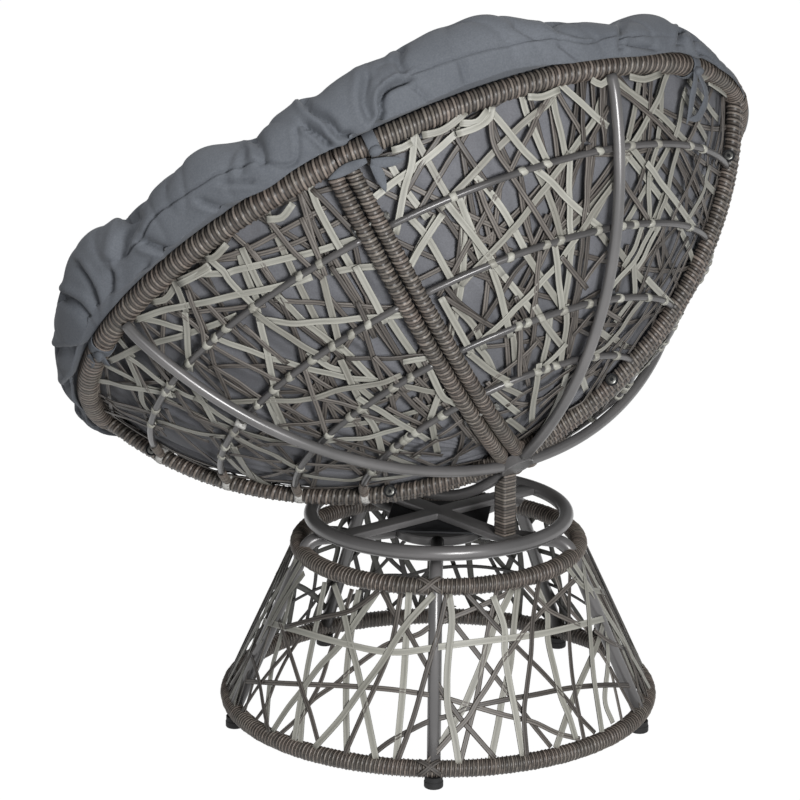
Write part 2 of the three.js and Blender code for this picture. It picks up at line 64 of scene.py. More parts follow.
camera_data = bpy.data.cameras.new("camera")
camera_data.lens = camera_lens_mm
camera_data.sensor_width = camera_film_mm
camera = linked("camera", camera_data)
camera.location = axis_foot + camera_offset
camera.rotation_euler = (math.pi / 2 + camera_pitch, 0.0, camera_heading - math.pi / 2)
bpy.context.scene.camera = camera
bpy.context.scene.view_settings.view_transform = "Standard"

# Studio: a white floor and a white sweep all round, which stay white to the camera and in
# reflections, and three soft boxes


def node(tree, kind, settings, links=()):
    """Adds a shader node with its settings and its inputs' links."""
    made = tree.nodes.new(kind)
    for name, value in settings.items():
        if name == "stops":
            ramp = made.color_ramp
            while len(ramp.elements) < len(value):
                ramp.elements.new(0.5)
            for element, (place, colour) in zip(ramp.elements, value):
                element.position = place
                element.color = linear(colour)
        elif isinstance(name, int) or name in made.inputs:
            made.inputs[name].default_value = value
        else:
            setattr(made, name, value)
    for name, source in links:
        tree.links.new(source, made.inputs[name])
    return made


def linear(hex_colour):
    """An sRGB hex colour as linear red, green, blue and alpha."""
    channels = [int(hex_colour[i:i + 2], 16) / 255 for i in (0, 2, 4)]
    bent = [c / 12.92 if c <= 0.04045 else ((c + 0.055) / 1.055) ** 2.4 for c in channels]
    return (*bent, 1.0)


def new_material(name):
    """An empty material with its tree and output."""
    material = bpy.data.materials.new(name)
    material.use_nodes = True
    tree = material.node_tree
    tree.nodes.clear()
    return material, tree, node(tree, "ShaderNodeOutputMaterial", {})


studio_white = "ffffff"
floor_white = "9a9a9a"
floor_glow = 0.85
floor_strength = 1.17
room_light = 0.28
floor_side = 16.0
lamp_aim_height = 0.6
floor_material, tree, output = new_material("white studio floor")
rays = node(tree, "ShaderNodeLightPath", {})
seen = node(tree, "ShaderNodeMath", {"operation": "MAXIMUM"}, [
    (0, rays.outputs["Is Camera Ray"]), (1, rays.outputs["Is Glossy Ray"])])
seen = node(tree, "ShaderNodeMath", {"operation": "MAXIMUM"}, [
    (0, seen.outputs[0]), (1, rays.outputs["Is Transmission Ray"])])
seen = node(tree, "ShaderNodeMath", {"operation": "MULTIPLY", 1: floor_glow}, [(0, seen.outputs[0])])
paint = node(tree, "ShaderNodeBsdfDiffuse", {"Color": linear(floor_white)})
glow = node(tree, "ShaderNodeEmission", {"Color": linear(studio_white), "Strength": floor_strength})
mixed = node(tree, "ShaderNodeMixShader", {}, [
    (0, seen.outputs[0]), (1, paint.outputs[0]), (2, glow.outputs[0])])
tree.links.new(mixed.outputs[0], output.inputs[0])
bpy.ops.mesh.primitive_plane_add(size=floor_side)
floor = bpy.context.object
floor.name = "studio_floor"
floor.data.materials.append(floor_material)

world = bpy.data.worlds.new("white studio")
bpy.context.scene.world = world
world.use_nodes = True
tree = world.node_tree
tree.nodes.clear()
rays = node(tree, "ShaderNodeLightPath", {})
seen = node(tree, "ShaderNodeMath", {"operation": "MAXIMUM"}, [
    (0, rays.outputs["Is Camera Ray"]), (1, rays.outputs["Is Transmission Ray"])])
strength = node(tree, "ShaderNodeMapRange", {"To Min": room_light, "To Max": 1.0}, [(0, seen.outputs[0])])
sky = node(tree, "ShaderNodeBackground", {"Color": linear(studio_white)}, [(1, strength.outputs[0])])
output = node(tree, "ShaderNodeOutputWorld", {}, [(0, sky.outputs[0])])


def soft_box(name, heading, height, distance, size, watts):
    """A square lamp that looks at the middle of the chair."""
    lamp_data = bpy.data.lights.new(name, "AREA")
    lamp_data.size = size
    lamp_data.energy = watts
    lamp = linked(name, lamp_data)
    turn = math.radians(heading)
    lamp.location = (distance * math.cos(turn), distance * math.sin(turn), height)
    aim = Vector((0.0, 0.0, lamp_aim_height)) - lamp.location
    lamp.rotation_euler = aim.to_track_quat("-Z", "Y").to_euler()


soft_box("top_box", heading=350.0, height=3.6, distance=1.5, size=0.8, watts=34.0)
soft_box("front_box", heading=67.0, height=1.2, distance=3.4, size=0.8, watts=92.0)
soft_box("back_box", heading=235.0, height=3.0, distance=3.0, size=1.6, watts=9.0)

# Painted steel: mild steel tube, bent, welded, blasted and powder coated in dark grey. The
# powder flows out to a satin skin with a faint orange peel, so highlights are soft and long.
steel_grey = "666565"
steel_worn = "777575"
orange_peel_mm = 1.4
steel_cloud_mm = 111.1
painted_steel, tree, output = new_material("powder coated steel")
place = node(tree, "ShaderNodeTexCoord", {}).outputs["Object"]
peel = node(tree, "ShaderNodeTexNoise", {"Scale": 1000 / orange_peel_mm, "Detail": 1.0}, [
    ("Vector", place)])
cloud = node(tree, "ShaderNodeTexNoise", {"Scale": 1000 / steel_cloud_mm, "Detail": 3.0}, [
    ("Vector", place)])
tone = node(tree, "ShaderNodeValToRGB", {"stops": [(0.35, steel_grey), (0.7, steel_worn)]}, [
    ("Fac", cloud.outputs["Fac"])])
sheen = node(tree, "ShaderNodeMapRange", {"To Min": 0.24, "To Max": 0.36}, [("Value", cloud.outputs["Fac"])])
skin = node(tree, "ShaderNodeBump", {"Strength": 0.06, "Distance": 0.0002}, [("Height", peel.outputs["Fac"])])
shader = node(tree, "ShaderNodeBsdfPrincipled", {"Metallic": 0.25}, [
    ("Base Color", tone.outputs["Color"]), ("Roughness", sheen.outputs["Result"]),
    ("Normal", skin.outputs["Normal"])])
tree.links.new(shader.outputs[0], output.inputs[0])

# Legs: five round tubes. Each leaves the hub as a level arm, bends down over the top hoop and
# slopes to the lower hoop, inside the wicker that binds it.


def directions(points, outward, closed):
    """Unit directions across and out of a path, square to it and to each other."""
    if closed:
        along = np.roll(points, -1, axis=0) - np.roll(points, 1, axis=0)
    else:
        along = np.gradient(points, axis=0)
    across = np.cross(along, outward)
    across /= np.linalg.norm(across, axis=1, keepdims=True)
    out = np.cross(across, along)
    return across, out / np.linalg.norm(out, axis=1, keepdims=True)


def swept(points, outward, outline, closed=False, mark=0.0, finish=0):
    """A solid that carries an outline of (out, across) points along a path, as its places, faces,
    face map and finish. The outline is one for all stations, or one for each. The map's u is the
    mark plus a quarter of the metres from the start."""
    outline = np.asarray(outline, float)
    if outline.ndim == 2:
        outline = np.repeat(outline[None], len(points), axis=0)
    across, out = directions(points, outward, closed)
    count, sides = outline.shape[:2]
    places = points[:, None] + out[:, None] * outline[..., :1] + across[:, None] * outline[..., 1:]
    i, j = np.meshgrid(np.arange(count if closed else count - 1), np.arange(sides), indexing="ij")
    i, j = i.ravel(), j.ravel()
    ahead, beside = (i + 1) % count, (j + 1) % sides
    quads = np.stack([i * sides + j, i * sides + beside, ahead * sides + beside, ahead * sides + j], axis=1)
    faces = quads.tolist()
    if not closed:
        faces.append(list(range(sides))[::-1])
        faces.append([(count - 1) * sides + k for k in range(sides)])
    ring = np.vstack([points, points[:1]])
    lengths = np.concatenate([[0], np.cumsum(np.linalg.norm(np.diff(ring, axis=0), axis=1))])
    u = mark + np.stack([lengths[i], lengths[i], lengths[i + 1], lengths[i + 1]], axis=1) / 4
    v = np.stack([j, j + 1, j + 1, j], axis=1) / sides
    return places.reshape(-1, 3), faces, np.stack([u, v], axis=2).reshape(-1, 2), finish


def piece(name, parts, *materials):
    """One object made of swept parts. Each part's finish is its place in the materials."""
    places, faces, corners, finishes, start = [], [], [], [], 0
    for part_places, part_faces, part_corners, finish in parts:
        places.append(part_places)
        loops = sum(len(face) for face in part_faces)
        corners.append(np.concatenate([part_corners, np.zeros((loops - len(part_corners), 2))]))
        faces += [[start + k for k in face] for face in part_faces]
        finishes += [finish] * len(part_faces)
        start += len(part_places)
    mesh = bpy.data.meshes.new(name)
    mesh.from_pydata(np.concatenate(places).tolist(), [], faces)
    mesh.uv_layers.new(name="lay").data.foreach_set("uv", np.concatenate(corners).ravel())
    mesh.polygons.foreach_set("material_index", finishes)
    mesh.polygons.foreach_set("use_smooth", [len(face) == 4 for face in faces])
    for material in materials:
        mesh.materials.append(material)
    return linked(name, mesh)


def round_outline(radius, sides):
    """The points of a round outline."""
    angles = np.arange(sides) * 2 * np.pi / sides
    return np.stack([radius * np.cos(angles), radius * np.sin(angles)], axis=1)


top_hoop_radius = 0.2114
top_hoop_height = 0.2655
base_hoop_radius = 0.320
base_hoop_height = 0.028
leg_radius = 0.010
arm_height = 0.286
leg_bend = 0.026
hub_radius = 0.070
leg_count = 5
first_leg_degrees = 49
leg_turns = [math.radians(first_leg_degrees + k * 360 / leg_count) for k in range(leg_count)]
leg_slope = math.atan2(top_hoop_height - base_hoop_height, base_hoop_radius - top_hoop_radius)
for number, turn in enumerate(leg_turns, start=1):
    knee = top_hoop_radius - (arm_height - top_hoop_height) / math.tan(leg_slope)
    bend_start = knee - leg_bend * math.tan(leg_slope / 2)
    stations = [(hub_radius, arm_height, 0.0)]
    for tip in np.linspace(0.0, leg_slope, 14):
        drop = leg_bend * (1 - math.cos(tip))
        stations.append((bend_start + leg_bend * math.sin(tip), arm_height - drop, tip))
    stations.append((base_hoop_radius, base_hoop_height, leg_slope))
    radial = np.array([math.cos(turn), math.sin(turn), 0.0])
    points = np.array([axis_foot + radial * r + (0, 0, z) for r, z, tip in stations])
    outward = np.array([radial * math.sin(tip) + (0, 0, math.cos(tip)) for r, z, tip in stations])
    tube = swept(points, outward, round_outline(leg_radius, 28))
    leg = piece(f"leg_tube_{number}", [tube], painted_steel)
    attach(leg, "base")
    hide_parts(f"leg_{number}")

# Rubber: black styrene rubber, matt from its mould, with a faint bloom that lightens it in soft
# patches
rubber_black = "19191a"
rubber_bloom = "262627"
rubber_grain_mm = 0.9
rubber_bloom_mm = 16.67
rubber, tree, output = new_material("moulded black rubber")
place = node(tree, "ShaderNodeTexCoord", {}).outputs["Object"]
grain = node(tree, "ShaderNodeTexNoise", {"Scale": 1000 / rubber_grain_mm, "Detail": 2.0}, [
    ("Vector", place)])
bloom = node(tree, "ShaderNodeTexNoise", {"Scale": 1000 / rubber_bloom_mm, "Detail": 4.0}, [
    ("Vector", place)])
tone = node(tree, "ShaderNodeValToRGB", {"stops": [(0.4, rubber_black), (0.75, rubber_bloom)]}, [
    ("Fac", bloom.outputs["Fac"])])
skin = node(tree, "ShaderNodeBump", {"Strength": 0.15, "Distance": 0.0003}, [
    ("Height", grain.outputs["Fac"])])
shader = node(tree, "ShaderNodeBsdfPrincipled", {"Roughness": 0.72}, [
    ("Base Color", tone.outputs["Color"]), ("Normal", skin.outputs["Normal"])])
tree.links.new(shader.outputs[0], output.inputs[0])

# Feet: moulded rubber cups, pushed up over the studs under the lower hoop, one below each leg. They
# keep the steel off the floor.


def turned_faces(rows, steps):
    """The faces between the rows of a turned shape."""
    return [[row * steps + k, row * steps + (k + 1) % steps, (row + 1) * steps + (k + 1) % steps,
             (row + 1) * steps + k] for row in range(rows - 1) for k in range(steps)]


def smoothed(made, crease=35.0):
    """Shades a piece smooth, apart from edges sharper than the crease in degrees."""
    made.data.shade_smooth()
    made.data.set_sharp_from_angle(angle=math.radians(crease))


def lathed(name, profile, centre, steps, material, up=(0.0, 0.0, 1.0)):
    """A closed turned solid: profile points are (radius, height), from axis to axis."""
    inner = np.array(profile[1:-1])
    turn = np.arange(steps) * 2 * np.pi / steps
    rings = np.stack([
        inner[:, None, 0] * np.cos(turn), inner[:, None, 0] * np.sin(turn),
        np.repeat(inner[:, 1:], steps, axis=1)], axis=2).reshape(-1, 3)
    places = np.concatenate([rings, [[0, 0, profile[0][1]], [0, 0, profile[-1][1]]]])
    lift = Vector((0, 0, 1)).rotation_difference(Vector(up)).to_matrix()
    places = places @ np.array(lift).T + np.asarray(centre)
    rows = len(inner)
    faces = turned_faces(rows, steps)
    for k in range(steps):
        beside = (k + 1) % steps
        faces.append([rows * steps, beside, k])
        faces.append([rows * steps + 1, (rows - 1) * steps + k, (rows - 1) * steps + beside])
    mesh = bpy.data.meshes.new(name)
    mesh.from_pydata(places.tolist(), [], faces)
    mesh.materials.append(material)
    made = linked(name, mesh)
    smoothed(made)
    return made


foot_radius = 0.014
foot_rise = 0.0175
foot_round = 0.0025
foot_neck_radius = foot_radius * 0.94
foot_skirt = foot_rise * 0.55
foot_step = foot_rise * 0.6
for number, turn in enumerate(leg_turns, start=1):
    corner = [foot_round * (1 - math.cos(a)) for a in np.linspace(0, math.pi / 2, 5)]
    side = [foot_round * (1 - math.sin(a)) for a in np.linspace(0, math.pi / 2, 5)]
    profile = [(0, 0), (foot_radius - foot_round, 0)]
    profile += [(foot_radius - s, c) for s, c in zip(side, corner)][1:]
    profile += [(foot_radius, foot_skirt), (foot_neck_radius, foot_step)]
    profile += [(foot_neck_radius, foot_rise), (0, foot_rise)]
    seat = axis_foot + base_hoop_radius * np.array([math.cos(turn), math.sin(turn), 0.0])
    foot = lathed(f"foot_cup_{number}", profile, seat, 36, rubber)
    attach(foot, "base")
    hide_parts(f"foot_{number}")

# Wound wicker: half-round polyethylene strip, extruded in streaky greys and browns, wound tight
# round the steel tube. Each pass is painted with a pale crest as painted highlight, and with dark grooves and
# darker bands as painted shade.
wicker_groove_painted_shade = "1d1b19"
wicker_shade = "524c48"
wicker_brown = "665f59"
wicker_crest_painted_highlight = "867f78"
wicker_warm = "9c8f8a"
wicker_cool = "8f8f8a"
wicker_streak_mm = 4.8
wicker_drift_mm = 45.45
wicker, tree, output = new_material("wound polyethylene wicker")
lay = node(tree, "ShaderNodeUVMap", {"uv_map": "lay"})
split = node(tree, "ShaderNodeSeparateXYZ", {}, [(0, lay.outputs[0])])
phase = node(tree, "ShaderNodeMath", {"operation": "FRACT"}, [(0, split.outputs[0])])
turn_number = node(tree, "ShaderNodeMath", {"operation": "FLOOR"}, [(0, split.outputs[0])])
each = node(tree, "ShaderNodeTexWhiteNoise", {"noise_dimensions": "1D"}, [("W", turn_number.outputs[0])])
# The ramp paints each pass: the pale crest is painted highlight, and the grooves and shade bands are painted
# shade
face = node(tree, "ShaderNodeValToRGB", {"stops": [
    (0.02, wicker_groove_painted_shade), (0.07, wicker_brown), (0.12, wicker_crest_painted_highlight), (0.36, wicker_crest_painted_highlight),
    (0.42, wicker_brown), (0.47, wicker_groove_painted_shade), (0.55, wicker_groove_painted_shade), (0.61, wicker_shade),
    (0.74, wicker_brown), (0.9, wicker_shade), (0.97, wicker_groove_painted_shade)]}, [("Fac", phase.outputs[0])])
place = node(tree, "ShaderNodeTexCoord", {}).outputs["Object"]
streaks = node(tree, "ShaderNodeTexNoise", {"Scale": 1000 / wicker_streak_mm, "Detail": 3.0}, [
    ("Vector", place)])
drift = node(tree, "ShaderNodeTexNoise", {"Scale": 1000 / wicker_drift_mm, "Detail": 2.0}, [
    ("Vector", place)])
shade = node(tree, "ShaderNodeMapRange", {"To Min": 0.66, "To Max": 1.26}, [
    ("Value", each.outputs["Value"])])
streaked = node(tree, "ShaderNodeMapRange", {
    "From Min": 0.3, "From Max": 0.7, "To Min": 0.78, "To Max": 1.18}, [("Value", streaks.outputs["Fac"])])
shade = node(tree, "ShaderNodeMath", {"operation": "MULTIPLY"}, [
    (0, shade.outputs[0]), (1, streaked.outputs[0])])
colour = node(tree, "ShaderNodeMix", {"data_type": "RGBA", "blend_type": "MULTIPLY", 0: 1.0}, [
    (6, face.outputs["Color"]), (7, shade.outputs[0])])
warm = node(tree, "ShaderNodeValToRGB", {"stops": [(0.38, wicker_cool), (0.62, wicker_warm)]}, [
    ("Fac", drift.outputs["Fac"])])
colour = node(tree, "ShaderNodeMix", {"data_type": "RGBA", "blend_type": "OVERLAY", 0: 0.5}, [
    (6, colour.outputs[2]), (7, warm.outputs["Color"])])
skin = node(tree, "ShaderNodeBump", {"Strength": 0.3, "Distance": 0.0004}, [
    ("Height", streaks.outputs["Fac"])])
shader = node(tree, "ShaderNodeBsdfPrincipled", {"Roughness": 0.42}, [
    ("Base Color", colour.outputs[2]), ("Normal", skin.outputs["Normal"])])
tree.links.new(shader.outputs[0], output.inputs[0])

# Hoops: two steel rings wound with wicker, which also binds the legs to them. Strip is wound on by
# hand under tension, so no two passes are quite alike.

# One pass of the strip, from groove to groove: the share of the pitch and the height at each place
strip_pass_shares = [(0.0, 0.0), (0.1, 0.8), (0.23, 1.0), (0.38, 0.75), (0.49, 0.0), (0.7, 0.45)]
pass_middle = 0.6
pass_unevenness = 0.2
pass_stray = 0.07


def wound(points, outward, radius, pitch, depth, seed, sides=16, closed=True):
    """A tube wound with strip. Its grid runs in a screw, so that each ridge of the strip has points
    of its own. radius and pitch may change along the path."""
    across, out = directions(points, outward, closed)
    ring = np.vstack([points, points[:1]]) if closed else points
    lengths = np.concatenate([[0], np.cumsum(np.linalg.norm(np.diff(ring, axis=0), axis=1))])
    radius = np.broadcast_to(radius, len(points))
    pitch = np.broadcast_to(pitch, len(points))[:len(lengths) - 1]
    passes = np.concatenate([[0], np.cumsum(np.diff(lengths) / pitch)])
    count = int(round(passes[-1]))
    passes *= count / passes[-1]
    table = np.hstack([points, out, across, radius[:, None]])
    table = np.vstack([table, table[:1]]) if closed else table
    rng = np.random.default_rng(seed)
    drift = rng.normal(0.0, pass_stray, count + 1)
    drift[-1] = drift[0]
    shares = np.array(strip_pass_shares)
    steps = len(shares)
    turns = np.arange(count) if closed else np.arange(-1, count + 1)
    phase = (turns[:, None] + shares[None, :, 0]).ravel()
    fullness = rng.uniform(1 - pass_unevenness, 1 + pass_unevenness, (len(turns), 1))
    height = depth * ((shares[None, :, 1] * fullness).ravel() - pass_middle)
    turn = np.arange(sides) / sides
    at = phase[:, None] - turn[None]
    at = at % count if closed else np.clip(at, 0, count)
    moved = at + np.interp(at, np.arange(count + 1), drift)
    moved = moved % count if closed else np.clip(moved, 0, count)
    spots = np.stack([np.interp(moved, passes, table[:, k]) for k in range(10)], axis=2)
    reach = (spots[..., 9] + height[:, None])[..., None]
    angle = 2 * np.pi * turn[None, :, None]
    places = spots[..., :3] + reach * (spots[..., 3:6] * np.cos(angle) + spots[..., 6:9] * np.sin(angle))
    total = len(phase)
    rows = np.arange(total) if closed else np.arange(steps, total - 1)
    i, j = np.meshgrid(rows, np.arange(sides), indexing="ij")
    i, j = i.ravel(), j.ravel()

    def corner(i, j):
        return (i - np.where(j == sides, steps, 0)) % total * sides + j % sides

    quads = np.stack([corner(i, j), corner(i, j + 1), corner(i + 1, j + 1), corner(i + 1, j)], axis=1)
    marks = np.append(phase, count)
    u = np.stack([marks[i], marks[i], marks[i + 1], marks[i + 1]], axis=1)
    v = np.stack([j, j + 1, j + 1, j], axis=1) / sides
    reached = at.ravel()[quads]
    kept = (reached.max(axis=1) > reached.min(axis=1)) | closed
    corners = np.stack([u, v], axis=2)[kept]
    return places.reshape(-1, 3), quads[kept].tolist(), corners.reshape(-1, 2), 0


def circle(radius, height, steps):
    """Places round the swivel's axis, and the directions out of them."""
    turn = np.linspace(0, 2 * np.pi, steps, endpoint=False)
    radial = np.stack([np.cos(turn), np.sin(turn), np.zeros_like(turn)], axis=1)
    return axis_foot + radial * radius + (0, 0, height), radial


hoop_radius = 0.0127
hoop_pitch = 0.0063
wrap_depth = 0.0017
hoop_steps = 720
hoops = [("base_top_ring", top_hoop_radius, top_hoop_height),
         ("base_bottom_ring", base_hoop_radius, base_hoop_height)]
for seed, (solid, radius, height) in enumerate(hoops):
    points, radial = circle(radius, height, hoop_steps)
    winding = wound(points, radial, hoop_radius, hoop_pitch, wrap_depth, seed)
    ring = piece(f"{solid}_wrap", [winding], wicker)
    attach(ring, "base")
    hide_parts(solid)

# Bowl: four quarter panels of a deep round bowl that leans back. Each place on it is a share of the
# arc from the apex to the rim and a turn about the bowl's axis, 0 at the high back.
rim_radius = 0.526
bowl_depth = 0.335
bowl_tilt = math.radians(40.5)
bowl_apex_back = 0.1656
bowl_sink = 0.0431
rest_height = 0.3416
rest_softness = 0.015
sphere_radius = (rim_radius ** 2 + bowl_depth ** 2) / (2 * bowl_depth)
cap_angle = math.atan2(rim_radius, sphere_radius - bowl_depth)
arc_length = sphere_radius * cap_angle
bowl_axis = np.array([0.0, -math.sin(bowl_tilt), math.cos(bowl_tilt)])
back_direction = np.array([0.0, math.cos(bowl_tilt), math.sin(bowl_tilt)])
side_direction = np.cross(bowl_axis, back_direction)
sphere_centre = axis_foot + (0, bowl_apex_back, rest_height - bowl_sink + sphere_radius)
sphere_centre[1] -= sphere_radius * math.sin(bowl_tilt)


def bowl_normals(share, turn):
    """Outward directions at places on the bowl."""
    angle, turn = np.broadcast_arrays(cap_angle * np.asarray(share, float), np.asarray(turn, float))
    angle, turn = angle[..., None], turn[..., None]
    level = np.cos(turn) * back_direction + np.sin(turn) * side_direction
    return np.sin(angle) * level - np.cos(angle) * bowl_axis


def bowl_places(share, turn, outset=0.0):
    """Places on the bowl or at an outset from it. Its lowest stretch is pressed flat on the ring."""
    normals = bowl_normals(share, turn)
    surface = sphere_centre + normals * sphere_radius
    height = surface[..., 2]
    rise = np.logaddexp(0, (height - rest_height) / rest_softness) * rest_softness
    rise += rest_height - height
    places = surface + normals * np.asarray(outset)[..., None]
    places[..., 2] += rise
    return places


# Panel frames: each quarter has a bent rim tube and two side tubes, welded to a loop and wound
# with wicker. The quarters are bolted together along the seams.


def closed_up(made):
    """Joins an open wound tube's doubled points and closes its ends."""
    edit = bmesh.new()
    edit.from_mesh(made.data)
    bmesh.ops.remove_doubles(edit, verts=edit.verts[:], dist=1e-6)
    bmesh.ops.dissolve_degenerate(edit, dist=1e-6, edges=edit.edges[:])
    loose = [vert for vert in edit.verts if not vert.link_faces]
    bmesh.ops.delete(edit, geom=loose, context="VERTS")
    bmesh.ops.holes_fill(edit, edges=[edge for edge in edit.edges if edge.is_boundary])
    edit.to_mesh(made.data)
    edit.free()


panels = ["back", "left", "front", "right"]
panel_span = 2 * math.pi / len(panels)
rim_tube_radius = 0.0136
side_tube_radius = 0.0108
side_inset = 0.0118
apex_corner = 0.022
rim_pitch = 0.0104
rim_wrap_depth = 0.0022
rim_bulk = {"back": 0.0013, "left": 0.0026, "front": 0.0013, "right": 0.0026}
side_pitch = 0.0102
apex_pitch = 0.0078
rim_end_gap = 0.0006


def beside_seam(share):
    """The turn by which a side tube's middle stands off its seam."""
    return np.arcsin(side_inset / (sphere_radius * np.sin(cap_angle * np.asarray(share, float))))


def side_path():
    """Both side tubes of a panel as one path, from the rim down round the apex and up again."""
    low = (side_inset * math.sqrt(2) + apex_corner) / arc_length
    shares = np.linspace(0.992, low, 140)
    turns = beside_seam(shares) - panel_span / 2
    down = np.stack([shares * np.cos(turns), shares * np.sin(turns)], axis=1)
    up = down[::-1] * (1, -1)
    t = np.linspace(0, 1, 14)[1:-1, None]
    tip = np.array([side_inset * math.sqrt(2) / arc_length, 0.0])
    return np.vstack([down, (1 - t) ** 2 * down[-1] + 2 * t * (1 - t) * tip + t ** 2 * up[0], up])


path = side_path()
side_share = np.hypot(path[:, 0], path[:, 1])
side_turn = np.arctan2(path[:, 1], path[:, 0])
near_apex = np.clip(1 - (side_share - 0.05) / 0.2, 0, 1)
rim_end = panel_span / 2 - rim_end_gap / rim_radius
for number, name in enumerate(panels):
    turn = np.linspace(-rim_end, rim_end, 200) + number * panel_span
    rim = wound(bowl_places(1.0, turn), bowl_normals(1.0, turn), rim_tube_radius + rim_bulk[name],
                rim_pitch, rim_wrap_depth, 10 + number, closed=False)
    turn = side_turn + number * panel_span
    pitch = side_pitch + (apex_pitch - side_pitch) * near_apex
    sides = wound(bowl_places(side_share, turn), bowl_normals(side_share, turn), side_tube_radius, pitch,
                  wrap_depth, 20 + number, sides=14, closed=False)
    made = piece(f"{name}_frame_wrap", [rim, sides], wicker)
    closed_up(made)
    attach(made, "seat")
    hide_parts(f"{name}_panel_frame")

# Spines: four round tubes of mild steel, bent to the bowl's curve and welded to the head on the
# post. They run outside the panels to the rim.
spine_radius = 0.008
spine_outset = 0.0123
spine_head_radius = 0.026
spine_tuck = 0.0055
spine_head_overlap = 0.004
spine_rim_gap = 0.012
for number, name in enumerate(panels):
    share = np.linspace((spine_head_radius - spine_head_overlap) / arc_length,
                        1 - spine_rim_gap / arc_length, 90)
    outset = spine_outset - spine_tuck * np.clip((share - 0.94) / 0.06, 0, 1) ** 2
    points = bowl_places(share, number * panel_span, outset)
    outward = bowl_normals(share, number * panel_span)
    tube = swept(points, outward, round_outline(spine_radius, 24))
    made = piece(f"{name}_spine_tube", [tube], painted_steel)
    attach(made, "seat")
    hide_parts(f"{name}_spine")

# Ribs: four thin tubes of the same steel across each panel, welded to the side tubes inside the
# spine. Their coat is painted darker, as painted shade from the weave round them.
rib_arc_shares = [0.83, 0.66, 0.49, 0.34]
rib_radius = 0.005
rib_outset = -0.001
# Painted shade: the ribs' colours are darker than the other steel, for the shade of the weave
rib_painted_shade_dark = "4f4e4e"
rib_painted_shade_grey = "605e5e"
rib_end_gap = 0.006


def recoloured(material, name, shades):
    """A copy of a material with other colours in its ramp."""
    copy = material.copy()
    copy.name = name
    for knot in copy.node_tree.nodes:
        if knot.bl_idname == "ShaderNodeValToRGB":
            for stop, shade in zip(knot.color_ramp.elements, shades):
                stop.color = linear(shade)
    return copy


def level_radius(share):
    """The bowl's radius about its axis at a share of the arc."""
    return sphere_radius * math.sin(cap_angle * share)


def rib_reach(share):
    """The turn from a panel's middle to the end of its rib."""
    return panel_span / 2 - float(beside_seam(share)) - rib_end_gap / level_radius(share)


rib_steel_painted_shade = recoloured(painted_steel, "powder coated steel of the ribs darkened as painted shade", (rib_painted_shade_dark, rib_painted_shade_grey))
for number, name in enumerate(panels):
    for rank, share in enumerate(rib_arc_shares, start=1):
        turn = np.linspace(-rib_reach(share), rib_reach(share), 60) + number * panel_span
        points = bowl_places(share, turn, rib_outset)
        tube = swept(points, bowl_normals(share, turn), round_outline(rib_radius, 16))
        rib = piece(f"{name}_rib_tube_{rank}", [tube], rib_steel_painted_shade)
        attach(rib, "seat")
        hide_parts(f"{name}_rib_{rank}")

# Flat strip: pale resin tape, extruded with shallow grooves and faintly streaked along its length.
# It takes a soft gleam where it turns to the light.


def extruded_strip(name, shades, streak_length_mm, streaks_across, streak_detail, grooves, relief):
    """Resin strip whose tone changes from strip to strip and from streak to streak, and whose colour is
    darkened in its grooves and along its edges as painted shade. The map's u is a quarter of the metres along
    it, and its v runs once round it."""
    material, tree, output = new_material(name)
    lay = node(tree, "ShaderNodeUVMap", {"uv_map": "lay"})
    split = node(tree, "ShaderNodeSeparateXYZ", {}, [(0, lay.outputs[0])])
    strip_number = node(tree, "ShaderNodeMath", {"operation": "FLOOR"}, [(0, split.outputs[0])])
    each = node(tree, "ShaderNodeTexWhiteNoise", {"noise_dimensions": "1D"}, [
        ("W", strip_number.outputs[0])])
    stretched = node(tree, "ShaderNodeVectorMath", {
        "operation": "MULTIPLY", 1: (4000 / streak_length_mm, streaks_across, 1.0)}, [(0, lay.outputs[0])])
    streaks = node(tree, "ShaderNodeTexNoise", {"Scale": 1.0, "Detail": streak_detail}, [
        ("Vector", stretched.outputs[0])])
    blend = node(tree, "ShaderNodeMath", {"operation": "MULTIPLY_ADD", 1: 0.5}, [
        (0, each.outputs["Value"]), (2, streaks.outputs["Fac"])])
    tone = node(tree, "ShaderNodeValToRGB", {"stops": list(zip((0.35, 0.7, 1.0), shades))}, [
        ("Fac", blend.outputs[0])])
    ribs = node(tree, "ShaderNodeValToRGB", {"stops": grooves}, [("Fac", split.outputs[1])])
    tone = node(tree, "ShaderNodeMix", {"data_type": "RGBA", "blend_type": "MULTIPLY", 0: 1.0}, [
        (6, tone.outputs["Color"]), (7, ribs.outputs["Color"])])
    skin = node(tree, "ShaderNodeBump", {"Strength": relief, "Distance": 0.0003}, [
        ("Height", streaks.outputs["Fac"])])
    shader = node(tree, "ShaderNodeBsdfPrincipled", {"Roughness": 0.5}, [
        ("Base Color", tone.outputs[2]), ("Normal", skin.outputs["Normal"])])
    tree.links.new(shader.outputs[0], output.inputs[0])
    return material


tape_pale = "b1b0a7"
tape_mid = "9d9c93"
tape_dull = "848179"
tape_streak_mm = 1.568
tape_streak_length_mm = 200 / 3
tape_girth_mm = 22.8
# Painted shade: the tape's colour is darkened along its edges and underside, and a little in its middle
# groove
tape_groove_painted_shade = [(0.1, "8c8c8c"), (0.2, "f6f6f6"), (0.3, "ffffff"), (0.42, "dedede"), (0.6, "ffffff"),
                (0.68, "f6f6f6"), (0.78, "8c8c8c")]
flat_strip = extruded_strip("pale extruded resin tape", (tape_dull, tape_mid, tape_pale),
                            tape_streak_length_mm, tape_girth_mm / tape_streak_mm, 2.0, tape_groove_painted_shade, 0.25)

# Where the tape is turned round a rib, no edge of it shows, so it carries none of the painted shade of edges
# and groove
collar_strip = flat_strip.copy()
collar_strip.name = "pale resin tape turned round"
for knot in collar_strip.node_tree.nodes:
    if knot.bl_idname == "ShaderNodeMix":
        knot.inputs[0].default_value = 0.0
